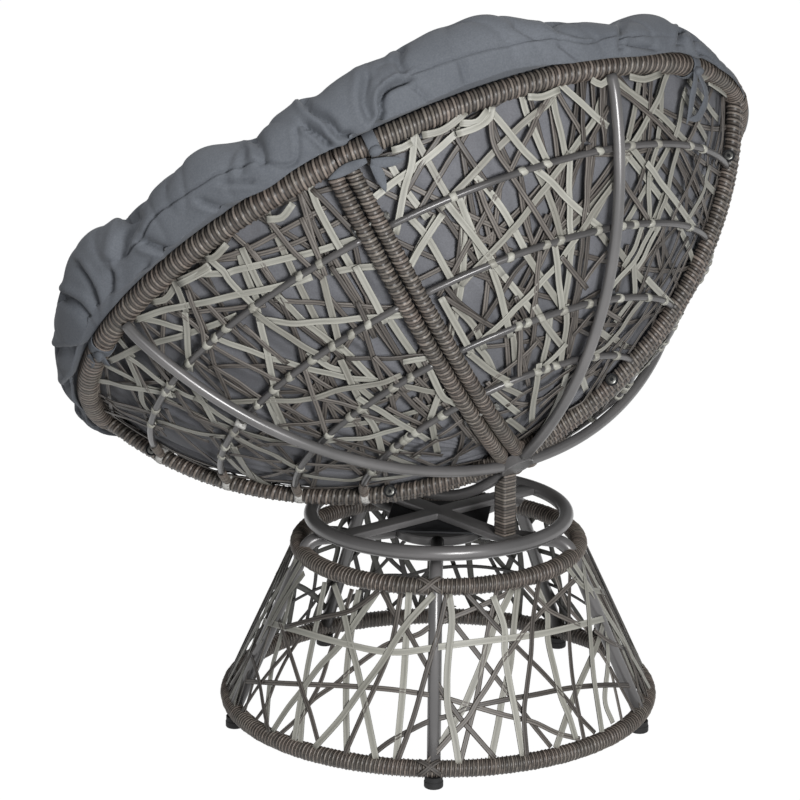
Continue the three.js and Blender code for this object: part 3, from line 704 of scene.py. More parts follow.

# Cord strip: narrow taupe resin cord, extruded as two half-round ribs side by side. Its colour is darkened
# along its edges and in the groove between the ribs as painted shade, so it looks like a pair of thin lines
# with a dark groove between them.
cord_brown = "635d58"
cord_grey = "7e7872"
cord_dark = "45413d"
cord_streak_mm = 2.396
cord_streak_length_mm = 400 / 9
cord_girth_mm = 19.6
# Painted shade: the cord's colour is darkened along its edges and in the groove between its ribs
cord_groove_painted_shade = [(0.12, "6c6c6c"), (0.22, "f0f0f0"), (0.34, "f0f0f0"), (0.43, "848484"), (0.52, "f0f0f0"),
                (0.64, "f0f0f0"), (0.74, "6c6c6c")]
cord_strip = extruded_strip("taupe extruded resin cord", (cord_dark, cord_brown, cord_grey),
                            cord_streak_length_mm, cord_girth_mm / cord_streak_mm, 3.0, cord_groove_painted_shade, 0.3)

# Panel weave: pale tape and taupe cord, stretched by hand at all slants between the tubes and the
# ribs, with turns of tape round the ribs. The runs were traced on the photograph, in its pixels.
tape_width = 0.0098
tape_thickness = 0.0016
cord_width = 0.0078
cord_thickness = 0.0020
collar_half_width = 0.0048
w, t = tape_width / 2, tape_thickness / 2
tape_outline = [(-t, -w), (t * 0.6, -w), (t, -w * 0.85), (t * 0.4, -w * 0.4), (t * 0.4, w * 0.4),
                (t, w * 0.85), (t * 0.6, w), (-t, w)]
w, t = cord_width / 2, cord_thickness / 2
cord_outline = [(-t, -w * 0.7), (0, -w), (t, -w * 0.55), (t * 0.1, 0), (t, w * 0.55), (0, w), (-t, w * 0.7)]
photo_middle_px = 400
lens_px = camera_lens_mm / camera_film_mm * 2 * photo_middle_px
camera_forward = np.array([math.cos(camera_heading) * math.cos(camera_pitch),
                           math.sin(camera_heading) * math.cos(camera_pitch), math.sin(camera_pitch)])
camera_right = np.array([math.sin(camera_heading), -math.cos(camera_heading), 0.0])
camera_up = np.cross(camera_right, camera_forward)
camera_place = axis_foot + camera_offset

back_tape_px = [
    [(414, 137), (412, 163), (405, 188), (397, 228)], [(416, 137), (430, 164), (452, 203)],
    [(457, 133), (439, 149), (418, 166), (400, 178), (374, 198)], [(390, 163), (406, 190), (424, 214)],
    [(559, 88), (548, 105), (533, 116), (507, 140), (481, 167), (445, 205)],
    [(493, 113), (522, 148), (538, 165)], [(478, 178), (497, 200), (513, 225), (528, 254)],
    [(450, 207), (471, 233), (500, 271)], [(462, 203), (473, 231), (485, 267)],
    [(413, 221), (429, 240), (454, 284)], [(439, 220), (424, 242), (411, 265)],
    [(434, 223), (423, 242), (415, 258)],
    [(567, 159), (553, 179), (542, 194), (516, 227), (505, 239), (466, 281)],
    [(523, 94), (532, 121), (549, 160)], [(554, 97), (560, 124), (567, 154)],
    [(561, 84), (575, 97), (591, 112), (604, 123)], [(602, 104), (595, 122), (575, 150)],
    [(536, 169), (552, 182), (565, 196), (574, 205), (598, 225)], [(540, 173), (552, 199), (564, 238)],
    [(571, 158), (571, 201), (572, 234)], [(613, 185), (592, 215), (585, 226)],
    [(620, 81), (645, 101), (661, 113), (690, 142)], [(668, 76), (656, 106), (636, 140)],
    [(666, 98), (664, 120), (662, 140)], [(631, 145), (645, 163)], [(650, 167), (667, 190), (694, 226)],
    [(652, 171), (652, 218)], [(658, 148), (652, 170)], [(681, 152), (671, 188), (658, 218)],
    [(645, 226), (637, 247), (629, 262)], [(555, 245), (559, 279), (562, 309)],
    [(575, 239), (572, 266), (566, 309)],
    [(577, 238), (565, 256), (548, 277), (527, 299), (509, 317), (481, 343)], [(600, 230), (609, 242)],
    [(687, 94), (682, 118), (677, 140)], [(686, 97), (693, 110)], [(694, 82), (709, 103), (720, 117)],
    [(712, 83), (719, 88), (727, 94)], [(702, 125), (710, 138)], [(679, 152), (668, 198), (658, 225)],
    [(708, 173), (704, 190), (688, 222)], [(707, 180), (716, 191)], [(494, 273), (502, 299), (510, 333)],
    [(500, 271), (519, 294), (536, 316)], [(529, 258), (545, 282), (560, 304)], [(444, 303), (470, 350)],
    [(459, 311), (475, 328), (484, 347)], [(538, 311), (548, 328), (563, 347)],
    [(553, 319), (550, 343), (545, 367)], [(568, 312), (567, 335), (562, 362)], [(562, 349), (549, 362)],
    [(515, 341), (517, 362)], [(473, 357), (490, 371), (511, 383)], [(480, 350), (490, 363), (501, 390)],
    [(497, 397), (517, 413)], [(539, 369), (535, 394), (532, 418)], [(616, 245), (629, 262), (647, 284)],
    [(654, 226), (637, 259), (610, 291)], [(662, 229), (651, 252), (641, 269)],
    [(636, 268), (637, 288), (634, 299), (621, 318)],
    [(641, 303), (627, 320), (619, 333), (607, 346), (592, 355)], [(599, 331), (610, 339)],
    [(581, 374), (586, 389)], [(616, 340), (629, 349)], [(504, 388), (520, 396)],
    [(649, 281), (672, 305)], [(512, 424), (524, 433)],
]
back_cord_px = [
    [(445, 129), (428, 155), (409, 188)], [(468, 134), (443, 173), (417, 217)],
    [(451, 124), (463, 147), (489, 185)], [(490, 113), (495, 147), (512, 173)],
    [(493, 120), (503, 148), (515, 172)], [(541, 110), (530, 134), (514, 165)],
    [(504, 184), (493, 205), (477, 233), (457, 270), (443, 293)], [(480, 188), (489, 211), (511, 257)],
    [(513, 178), (529, 202), (554, 241)], [(522, 192), (528, 225), (536, 249)], [(549, 98), (541, 112)],
    [(560, 91), (575, 117), (585, 133)], [(584, 80), (585, 135)], [(602, 78), (602, 110), (605, 140)],
    [(608, 80), (607, 142)], [(607, 112), (594, 137)], [(587, 153), (575, 179), (556, 212)],
    [(591, 152), (589, 226)], [(584, 226), (587, 190), (588, 153)], [(547, 222), (537, 242)],
    [(623, 92), (648, 112), (679, 142)], [(648, 78), (648, 140)], [(653, 80), (652, 138)],
    [(624, 182), (647, 217)], [(653, 149), (640, 189), (624, 217)], [(724, 104), (723, 142), (718, 160)],
    [(697, 100), (713, 119)], [(698, 125), (690, 142)], [(699, 160), (692, 181), (680, 203), (672, 224)],
    [(680, 158), (689, 183), (690, 226)], [(697, 160), (704, 182)], [(718, 115), (712, 165)],
    [(448, 290), (460, 304), (482, 321), (504, 334)], [(450, 301), (480, 320)],
    [(529, 260), (512, 281), (490, 316), (468, 342)], [(540, 258), (537, 290), (533, 320)],
    [(520, 304), (528, 321)], [(517, 327), (523, 352), (529, 383)], [(521, 327), (520, 375)],
    [(537, 325), (533, 350), (526, 372)], [(534, 347), (519, 362), (499, 376)],
    [(492, 388), (513, 405), (524, 407)], [(534, 390), (513, 404)], [(570, 371), (554, 382), (537, 392)],
    [(591, 238), (585, 282), (577, 308)], [(584, 236), (580, 275), (574, 312)],
    [(579, 318), (576, 343), (569, 366)], [(575, 318), (570, 350)], [(565, 261), (584, 285)],
    [(606, 258), (588, 281), (582, 290)], [(591, 318), (579, 331)], [(668, 230), (655, 254), (643, 272)],
    [(680, 238), (671, 261), (663, 274), (652, 288)], [(692, 244), (680, 266), (666, 292)],
    [(688, 244), (676, 268), (662, 292)], [(657, 252), (646, 279), (640, 296)], [(630, 253), (622, 288)],
    [(652, 306), (637, 328), (618, 347)], [(660, 308), (648, 326), (632, 348)], [(657, 308), (630, 340)],
    [(606, 311), (620, 320)], [(610, 313), (600, 330)], [(645, 303), (612, 343)],
    [(601, 362), (582, 377)], [(612, 360), (599, 384), (588, 401), (576, 410)], [(622, 350), (600, 385)],
    [(660, 250), (665, 270)], [(545, 378), (560, 368)], [(558, 392), (545, 403)],
    [(488, 392), (498, 383)],
]
back_loop_px = [
    [(458, 123), (475, 122), (486, 110)], [(455, 134), (475, 127), (488, 118), (490, 107)],
    [(421, 135), (439, 131), (452, 123), (464, 112)], [(391, 150), (402, 147), (411, 142)],
    [(525, 97), (540, 97), (556, 90)], [(588, 80), (598, 85), (606, 78)],
    [(626, 77), (640, 80), (657, 74)], [(688, 77), (698, 79), (704, 72)],
]
right_tape_px = [
    [(138, 319), (169, 309), (197, 304), (233, 296), (285, 285), (306, 279)],
    [(136, 319), (160, 325), (183, 331)], [(185, 318), (187, 345), (189, 368)],
    [(152, 346), (190, 335), (231, 320)], [(257, 313), (266, 351), (275, 395)],
    [(260, 317), (290, 338), (322, 357)], [(220, 342), (263, 358), (298, 368)],
    [(264, 320), (290, 324), (327, 322), (363, 319), (402, 316)], [(280, 301), (306, 326), (339, 351)],
    [(322, 277), (330, 308), (339, 344)], [(311, 189), (322, 216), (347, 260)],
    [(192, 275), (222, 275), (241, 270), (310, 254), (359, 239)],
    [(209, 259), (222, 271), (229, 281), (252, 305)], [(239, 257), (244, 275), (257, 304)],
    [(244, 255), (253, 275), (263, 293)], [(175, 284), (184, 306)], [(175, 285), (165, 300), (154, 303)],
    [(359, 273), (371, 295), (383, 318)], [(392, 325), (411, 353), (424, 372)],
    [(308, 370), (341, 378), (373, 382)],
    [(230, 402), (280, 401), (306, 400), (324, 395), (349, 388), (375, 385), (395, 378)],
    [(342, 350), (367, 375), (386, 395)], [(343, 366), (352, 385), (363, 408)],
    [(313, 359), (328, 369), (344, 374)], [(356, 386), (374, 401)], [(363, 401), (388, 416), (424, 438)],
    [(362, 412), (376, 433), (383, 458)], [(330, 442), (370, 438), (404, 428)], [(405, 390), (440, 396)],
    [(440, 396), (432, 416)], [(431, 373), (443, 397), (455, 404)], [(432, 424), (438, 454)],
    [(273, 402), (285, 430)], [(337, 273), (355, 270), (375, 268)], [(130, 361), (170, 390), (200, 402)],
    [(200, 402), (233, 424)], [(125, 360), (137, 385), (140, 404), (149, 414)], [(111, 361), (138, 348)],
    [(102, 367), (140, 388), (168, 397)], [(97, 382), (123, 388), (166, 396)], [(197, 394), (212, 418)],
    [(158, 425), (172, 428), (199, 437), (221, 439)], [(236, 439), (272, 456), (301, 471)],
    [(234, 454), (251, 483)], [(309, 478), (344, 483), (370, 478)], [(378, 479), (397, 478), (422, 472)],
    [(396, 453), (415, 459)], [(410, 362), (424, 360), (432, 361)], [(116, 343), (127, 355)],
    [(268, 404), (280, 430)],
]
right_cord_px = [
    [(189, 296), (201, 328), (205, 348)], [(183, 280), (192, 301), (203, 330)], [(183, 317), (210, 341)],
    [(204, 307), (227, 325)], [(209, 350), (216, 372), (230, 404)], [(213, 347), (263, 374), (276, 380)],
    [(238, 326), (282, 362)], [(218, 370), (261, 399)], [(213, 370), (253, 369), (294, 371)],
    [(199, 313), (259, 307)], [(140, 322), (153, 343)], [(133, 370), (146, 392), (155, 404)],
    [(178, 397), (193, 418), (207, 427)], [(166, 416), (173, 430)], [(168, 404), (201, 419)],
    [(267, 219), (294, 252), (317, 274)], [(213, 261), (233, 255), (251, 248), (276, 235), (320, 211)],
    [(304, 225), (317, 254), (323, 270)], [(311, 221), (323, 247), (331, 267)], [(300, 196), (309, 214)],
    [(317, 194), (355, 233)], [(249, 251), (275, 289)], [(335, 273), (361, 311)],
    [(280, 303), (314, 305), (353, 308), (400, 311)], [(330, 300), (361, 336)], [(360, 308), (372, 333)],
    [(382, 328), (403, 363), (413, 378)], [(366, 335), (376, 366), (386, 390)],
    [(281, 306), (295, 336), (303, 364)], [(248, 332), (279, 360)], [(306, 375), (316, 404), (325, 430)],
    [(309, 377), (340, 397), (358, 408)], [(318, 399), (357, 409)], [(278, 387), (312, 397)],
    [(278, 406), (321, 428)], [(285, 426), (318, 423), (354, 420)], [(278, 426), (321, 441)],
    [(329, 439), (380, 453)], [(384, 331), (397, 355)], [(353, 360), (389, 360), (426, 357)],
    [(378, 361), (401, 387)], [(400, 393), (416, 409), (438, 429)], [(368, 418), (410, 428)],
    [(389, 389), (395, 414)], [(392, 412), (418, 425)], [(444, 433), (458, 424)],
    [(437, 444), (452, 441), (467, 432)], [(427, 367), (435, 383)], [(457, 462), (472, 447)],
    [(241, 435), (262, 446)], [(214, 441), (226, 456)], [(235, 238), (253, 255), (266, 272), (275, 287)],
    [(201, 280), (217, 296)], [(165, 302), (178, 314), (195, 313)], [(98, 397), (116, 405), (154, 416)],
    [(110, 404), (126, 414), (158, 427)], [(98, 411), (126, 422), (152, 431)],
    [(194, 418), (218, 428), (233, 435)], [(165, 430), (201, 443)], [(257, 448), (294, 445)],
    [(236, 456), (275, 462)], [(308, 468), (352, 469), (372, 472)], [(278, 472), (300, 472)],
    [(345, 463), (361, 479)], [(406, 455), (437, 457)], [(417, 454), (433, 444)],
    [(447, 408), (463, 426), (478, 445)], [(450, 412), (470, 437)], [(419, 405), (436, 419)],
    [(300, 196), (318, 258)], [(158, 366), (168, 381)], [(150, 425), (160, 436)],
    [(207, 306), (222, 322)],
]
right_loop_px = [
    [(268, 218), (283, 216), (294, 202)], [(208, 257), (217, 255), (229, 242)],
    [(181, 279), (202, 269), (211, 263)], [(181, 282), (203, 271), (212, 266)],
]
back_collar_px = [
    (456, 205), (523, 172), (547, 163), (599, 146), (631, 144), (658, 143), (690, 147), (702, 158),
    (511, 263), (546, 247), (494, 268), (598, 228), (560, 240), (622, 224), (635, 222), (651, 222),
    (687, 236), (527, 325), (541, 318), (563, 313), (589, 303), (518, 329), (620, 298), (648, 298),
    (664, 302), (538, 371), (546, 368), (595, 357), (618, 354), (508, 383), (543, 405),
]
right_collar_px = [
    (303, 281), (326, 273), (257, 312), (228, 330), (208, 346), (190, 364), (356, 340), (373, 331),
    (337, 351), (315, 362), (291, 378), (276, 391), (258, 405), (413, 381), (396, 390), (360, 408),
    (350, 417), (327, 434), (443, 416), (407, 437), (393, 448), (452, 447), (443, 452), (170, 385),
    (165, 392), (160, 413), (158, 428), (240, 423), (235, 433), (228, 448), (227, 458), (302, 469),
    (370, 471), (183, 307), (262, 316),
]


def sight(pixels):
    """The directions in which the camera sees pixels of the photograph."""
    ray = camera_forward + (pixels[:, :1] - photo_middle_px) / lens_px * camera_right
    return ray - (pixels[:, 1:] - photo_middle_px) / lens_px * camera_up


def seen_plan(pixels, panel_turn):
    """The flat plan of the bowl that lies behind the photograph's pixels, turned to one panel: the
    share of the arc along and across the panel's middle."""
    ray = sight(np.atleast_2d(pixels).astype(float))
    ray /= np.linalg.norm(ray, axis=1, keepdims=True)
    gap = camera_place - sphere_centre
    half = ray @ gap
    reach = -half - np.sqrt(np.maximum(half ** 2 - gap @ gap + sphere_radius ** 2, 0))
    normal = gap + ray * reach[:, None]
    normal /= np.linalg.norm(normal, axis=1, keepdims=True)
    share = np.arccos(-normal @ bowl_axis) / cap_angle
    turn = np.arctan2(normal @ side_direction, normal @ back_direction) - panel_turn
    return np.stack([share * np.cos(turn), share * np.sin(turn)], axis=1)


def flowing(points, spacing):
    """Even points on a smooth line through a few."""
    points = np.asarray(points, float)
    count = max(int(np.linalg.norm(np.diff(points, axis=0), axis=1).sum() / spacing), 3)
    before, after = 2 * points[0] - points[1], 2 * points[-1] - points[-2]
    knots = np.vstack([before, points, after])
    at = np.linspace(0, len(points) - 1, count + 1)
    k = np.minimum(at.astype(int), len(points) - 2)
    t = (at - k)[:, None]
    a, b, c, d = (knots[k + j] for j in range(4))
    square, cube = 2 * a - 5 * b + 4 * c - d, 3 * b - 3 * c + d - a
    return 0.5 * (2 * b + (c - a) * t + square * t ** 2 + cube * t ** 3)


def panel_strip(plan, panel_turn, outline, outset, mark, finish):
    """One strip along a line on a panel's flat plan."""
    share = np.minimum(np.hypot(plan[:, 0], plan[:, 1]), 1.0)
    turn = np.arctan2(plan[:, 1], plan[:, 0]) + panel_turn
    points = bowl_places(share, turn, outset)
    return swept(points, bowl_normals(share, turn), outline, mark=mark, finish=finish)


def nearest_rib(plan):
    """The share of the arc of the rib nearest to a place on a panel's flat plan."""
    return min(rib_arc_shares, key=lambda rib: abs(rib - math.hypot(*plan)))


def rib_collar(plan, panel_turn, mark, lean):
    """A turn of tape round the nearest rib, at a place on a panel's flat plan."""
    share = nearest_rib(plan)
    across = collar_half_width / level_radius(share)
    turn = math.atan2(plan[1], plan[0]) + panel_turn + np.array([-1.0, -0.8, 0.8, 1.0]) * across
    outline = np.repeat(round_outline(rib_radius + tape_thickness, 14)[None], 4, axis=0)
    outline[[0, 3]] *= 0.88
    points = bowl_places(share + np.linspace(-lean, lean, 4), turn, rib_outset)
    return swept(points, bowl_normals(share, turn), outline, mark=mark, finish=2)


def layer(rank):
    """How many layers in a strip lies, so that strips cross over and under each other."""
    return rank * 3 % 5


def under_cord(rng):
    """A straight run on a panel's flat plan, from a tube or a rib to another."""
    while True:
        middle = rng.uniform((0.15, -0.7), (1.0, 0.7))
        slant = rng.uniform(0, np.pi)
        least = rng.uniform(0.05, 0.16, 2)
        ends = []
        for way, shortest in ((1, least[0]), (-1, least[1])):
            for step in np.arange(0, 0.6, 0.006):
                spot = middle + way * step * np.array([math.cos(slant), math.sin(slant)])
                share, turn = math.hypot(*spot), math.atan2(spot[1], spot[0])
                room = (panel_span / 2 - abs(turn)) * level_radius(share)
                at_rib = abs(share - nearest_rib(spot)) < 0.007
                if share > 0.99 or room < 0.010 or at_rib and step > shortest:
                    ends.append(spot)
                    break
        if len(ends) == 2 and 0.12 < np.linalg.norm(ends[0] - ends[1]) < 0.75:
            bow = rng.uniform(-0.012, 0.012) * np.array([-math.sin(slant), math.cos(slant)])
            return flowing([ends[0], (ends[0] + ends[1]) / 2 + bow, ends[1]], 0.012)


tape_kind = (tape_outline, 0)
cord_kind = (cord_outline, 1)
trace_step_px = 5.0
top_layer = -0.0006
layer_step = 0.0015
loop_outset = 0.0075
strip_bob = 0.0009
under_cords = 54
under_layer = -0.0084
under_layer_step = 0.0013
end_tuck = 0.010 / arc_length
traced = {"back": (back_tape_px, back_cord_px, back_loop_px, back_collar_px, 1, "back"),
          "left": (right_tape_px, right_cord_px, right_loop_px, right_collar_px, -1, "right"),
          "front": (back_tape_px, back_cord_px, back_loop_px, back_collar_px, -1, "back"),
          "right": (right_tape_px, right_cord_px, right_loop_px, right_collar_px, 1, "right")}
for number, name in enumerate(panels):
    tapes, cords, loops, collars, side, model = traced[name]
    model_turn = panels.index(model) * panel_span
    panel_turn = number * panel_span
    mark = number * 200
    rng = np.random.default_rng(100 + number)
    parts = []
    for rank, pixels in enumerate(tapes + cords + loops):
        plan = seen_plan(flowing(pixels, trace_step_px), model_turn) * (1, side)
        outline, finish = cord_kind if len(tapes) <= rank < len(tapes) + len(cords) else tape_kind
        if rank < len(tapes) + len(cords):
            outset = top_layer - layer_step * layer(rank)
            ends = plan[[0, -1]] - plan[[1, -2]]
            ends *= end_tuck / np.linalg.norm(ends, axis=1, keepdims=True)
            plan = np.vstack([plan[0] + ends[0], plan, plan[-1] + ends[1]])
        else:
            outset = loop_outset
        outset = outset + strip_bob * np.sin(np.arange(len(plan)) * 0.8 + rank)
        parts.append(panel_strip(plan, panel_turn, outline, outset, mark + rank, finish))
    for rank in range(under_cords):
        outset = under_layer - under_layer_step * (rank % 3)
        outline, finish = cord_kind if rank % 9 else tape_kind
        parts.append(panel_strip(under_cord(rng), panel_turn, outline, outset, mark + 60 + rank, finish))
    for rank, pixel in enumerate(collars):
        plan = seen_plan(pixel, model_turn)[0] * (1, side)
        lean = float(rng.uniform(-0.003, 0.003))
        parts.append(rib_collar(plan, panel_turn, mark + 150 + rank, lean))
    weave = piece(f"{name}_weave", parts, flat_strip, cord_strip, collar_strip)
    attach(weave, "seat")
    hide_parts(f"{name}_panel_weave")

# Rib ends: on the seams beside the front panel, the winding of the side tube stops at each rib's
# weld and shows the bare tube, painted pale as a painted reflection of the white floor, and the rib's end is
# wound. One rib carries a pale cap in the same paint.
bare_band_length = 0.0115
bare_band_lift = 0.0003
rib_end_wound = 0.062
rib_end_lift = 0.0012
rib_end_pitch = 0.0052
rib_cap_length = 0.006
rib_cap_half = rib_radius + 0.003
rib_cap_lift = 0.002
rib_cap_px = (241, 422)
# Painted reflection: the bare bands are painted near white, for the white floor mirrored in their bare steel
band_reflection_pale = "c2c1bd"
band_reflection_scuffed = "8d8b87"
scuff_mm = 3.846
bare_band_reflection, tree, output = new_material("bare bent tube painted pale as reflection")
place = node(tree, "ShaderNodeTexCoord", {}).outputs["Object"]
scuffs = node(tree, "ShaderNodeTexNoise", {"Scale": 1000 / scuff_mm, "Detail": 3.0}, [("Vector", place)])
tone = node(tree, "ShaderNodeValToRGB", {"stops": [(0.35, band_reflection_scuffed), (0.5, band_reflection_pale)]}, [
    ("Fac", scuffs.outputs["Fac"])])
shader = node(tree, "ShaderNodeBsdfPrincipled", {"Roughness": 0.45}, [("Base Color", tone.outputs["Color"])])
tree.links.new(shader.outputs[0], output.inputs[0])
for name, side in (("right", -1), ("left", 1)):
    panel_turn = panels.index(name) * panel_span
    bands, windings = [], []
    for rank, share in enumerate(rib_arc_shares):
        shares = share + np.linspace(-0.5, 0.5, 5) * bare_band_length / arc_length
        turn = panel_turn + side * (panel_span / 2 - beside_seam(shares))
        sleeve = side_tube_radius + wrap_depth + bare_band_lift
        outline = np.repeat(round_outline(sleeve, 24)[None], 5, axis=0)
        outline[[0, -1]] *= 0.93
        bands.append(swept(bowl_places(shares, turn), bowl_normals(shares, turn), outline))
        wound_turns = np.linspace(0, rib_end_wound / level_radius(share), 24)
        turn = panel_turn + side * (rib_reach(share) - wound_turns)
        windings.append(wound(bowl_places(share, turn, rib_outset), bowl_normals(share, turn),
                              rib_radius + rib_end_lift, rib_end_pitch, rib_end_lift, 60 + rank, sides=12,
                              closed=False))
    if name == "right":
        plan = seen_plan(rib_cap_px, panel_turn)[0]
        share = nearest_rib(plan)
        turn = math.atan2(plan[1], plan[0]) + panel_turn
        turn = turn + np.linspace(-0.5, 0.5, 4) * rib_cap_length / rim_radius
        half = rib_cap_half
        square = [(half, -half), (half, half), (-half, half), (-half, -half)]
        points = bowl_places(share, turn, rib_outset + rib_cap_lift)
        bands.append(swept(points, bowl_normals(share, turn), square))
    made = piece(f"{name}_bare_bands", bands, bare_band_reflection)
    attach(made, "seat")
    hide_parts(f"{name}_panel_frame")
    made = piece(f"{name}_rib_windings", windings, wicker)
    closed_up(made)
    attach(made, "seat")
    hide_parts(*[f"{name}_rib_{rank}" for rank in range(1, len(rib_arc_shares) + 1)])

# Base weave: the same tape and cord, stretched outside the legs from hoop to hoop. The near half was
# traced on the photograph, in its pixels, and the far half repeats it.
base_tape_px = [
    [(304, 573), (287, 596), (271, 624)], [(325, 582), (319, 613), (312, 645), (305, 684), (300, 745)],
    [(334, 584), (343, 611), (351, 645), (360, 681), (376, 759)],
    [(359, 590), (353, 620), (347, 668), (346, 702), (347, 756)],
    [(377, 592), (358, 619), (340, 645), (319, 667), (302, 690), (287, 709), (272, 732)],
    [(434, 594), (410, 620), (397, 638), (380, 665), (361, 690), (340, 719), (314, 748)],
    [(409, 592), (406, 640), (403, 687), (396, 760)],
    [(263, 621), (299, 631), (326, 639), (354, 646), (379, 651), (403, 652), (432, 648), (460, 644),
     (501, 639), (533, 635), (563, 629), (610, 617)], [(293, 588), (281, 636), (271, 673), (266, 727)],
    [(302, 690), (298, 715), (294, 741)],
    [(449, 594), (452, 619), (449, 651), (447, 678), (448, 708), (454, 734), (459, 764)],
    [(512, 590), (495, 625), (486, 653), (474, 683), (461, 712), (445, 737), (430, 763)],
    [(493, 596), (504, 626), (505, 654), (510, 685), (516, 715), (523, 756)],
    [(518, 588), (514, 625), (510, 666), (502, 700), (498, 725), (491, 759)],
    [(537, 587), (547, 612), (548, 640), (555, 671), (561, 696), (569, 716), (576, 739)],
    [(583, 562), (588, 604), (591, 643), (594, 678), (602, 732)],
    [(603, 624), (597, 645), (589, 663), (572, 702), (556, 748)], [(566, 566), (584, 587), (604, 592)],
    [(606, 620), (608, 663), (605, 700), (613, 723)], [(262, 639), (244, 664), (230, 686)],
]
base_cord_px = [
    [(379, 591), (352, 610), (319, 618), (285, 627)],
    [(238, 681), (299, 684), (347, 686), (396, 690), (440, 697), (462, 703), (504, 715), (533, 722),
     (557, 733), (580, 739)], [(279, 620), (292, 659), (303, 693), (310, 712), (319, 745)],
    [(303, 633), (288, 656), (276, 680), (266, 705), (252, 725)], [(290, 648), (262, 681), (241, 713)],
    [(251, 655), (259, 681), (264, 710), (269, 733)],
    [(352, 589), (343, 619), (331, 650), (321, 681), (307, 708), (289, 741)],
    [(401, 593), (395, 628), (388, 656), (375, 687), (362, 715), (344, 756)],
    [(521, 584), (504, 595), (480, 606), (449, 619), (430, 627), (417, 635), (388, 644), (368, 657),
     (350, 671), (337, 683), (313, 700), (299, 717), (278, 736)],
    [(382, 591), (396, 616), (408, 632), (423, 659), (445, 696), (460, 718), (473, 733), (495, 758)],
    [(447, 593), (438, 633), (427, 670), (420, 695), (412, 722), (398, 760)],
    [(370, 757), (389, 742), (411, 730), (430, 721), (452, 715), (468, 708), (504, 700), (533, 695),
     (570, 688), (607, 685), (638, 686)],
    [(426, 764), (449, 738), (467, 719), (477, 702), (489, 684), (501, 663), (513, 647), (526, 629),
     (543, 610), (557, 597), (576, 578)],
    [(429, 590), (448, 616), (480, 657), (501, 684), (526, 716), (551, 747)],
    [(464, 591), (488, 617), (499, 629), (526, 656), (545, 675), (569, 702), (579, 716), (595, 733)],
    [(539, 581), (533, 619), (531, 654), (527, 687), (524, 715), (527, 757)],
    [(497, 590), (489, 626), (483, 660), (477, 696), (470, 724), (460, 764)],
    [(524, 584), (543, 604), (552, 612), (580, 625)],
    [(555, 575), (567, 605), (584, 626), (597, 647), (610, 669), (616, 693), (622, 721)],
    [(570, 570), (569, 626), (571, 663), (575, 693), (584, 739)], [(594, 630), (607, 640), (623, 648)],
    [(610, 667), (626, 697), (636, 714)], [(600, 590), (621, 636), (635, 672), (641, 710)],
    [(610, 617), (632, 663), (649, 703)], [(236, 684), (235, 712)], [(233, 684), (256, 645)],
]
base_binding_px = [
    [(441, 571), (431, 583), (418, 594)], [(417, 573), (430, 584), (441, 593)],
    [(441, 757), (430, 767), (418, 778)], [(418, 758), (429, 766), (441, 776)],
]
weave_outset = 0.0095
binding_outset = 0.0165
base_layer_step = 0.0012
side_strips = 15
side_reach = 0.34
cone_spread = 1 / math.tan(leg_slope)
cone_normal_level, cone_normal_up = math.sin(leg_slope), math.cos(leg_slope)


def seen_cone(pixels, outset):
    """Places on the near side of the cone through both hoops, at an outset, that lie behind the
    photograph's pixels, and the directions out of it."""
    ray = sight(pixels)
    tip = top_hoop_radius + top_hoop_height * cone_spread + outset / cone_normal_level
    start = camera_place - axis_foot
    wide = tip - cone_spread * start[2]
    a = ray[:, 0] ** 2 + ray[:, 1] ** 2 - (cone_spread * ray[:, 2]) ** 2
    b = ray[:, :2] @ start[:2] + cone_spread * ray[:, 2] * wide
    c = start[:2] @ start[:2] - wide ** 2
    reach = (-b - np.sqrt(np.maximum(b ** 2 - a * c, 0))) / a
    places = start + ray * reach[:, None]
    radial = places * (1, 1, 0) / np.linalg.norm(places[:, :2], axis=1, keepdims=True)
    return places, radial * cone_normal_level + (0, 0, cone_normal_up)


def bound_to_hoop(places):
    """Places drawn in round the nearest hoop, and the directions out of it."""
    low = places[:, 2].mean() < (base_hoop_height + top_hoop_height) / 2
    radius, height = (base_hoop_radius, base_hoop_height) if low else (top_hoop_radius, top_hoop_height)
    level = np.linalg.norm(places[:, :2], axis=1)
    out = np.stack([level - radius, places[:, 2] - height], axis=1)
    out /= np.linalg.norm(out, axis=1, keepdims=True)
    radial = places * (1, 1, 0) / level[:, None]
    outward = radial * out[:, :1] + out[:, 1:] * (0, 0, 1)
    return radial * radius + np.array((0, 0, height)) + outward * binding_outset, outward


parts = []
for rank, pixels in enumerate(base_tape_px + base_cord_px + base_binding_px):
    outline, finish = tape_kind if rank < len(base_tape_px) else cord_kind
    pixels = flowing(pixels, trace_step_px)
    if rank < len(base_tape_px) + len(base_cord_px):
        places, outward = seen_cone(pixels, weave_outset - base_layer_step * layer(rank))
    else:
        places, outward = bound_to_hoop(seen_cone(pixels, binding_outset)[0])
    for half in (1, -1):
        points = axis_foot + places * (half, half, 1)
        parts.append(swept(points, outward * (half, half, 1), outline, mark=rank * 2 + half, finish=finish))

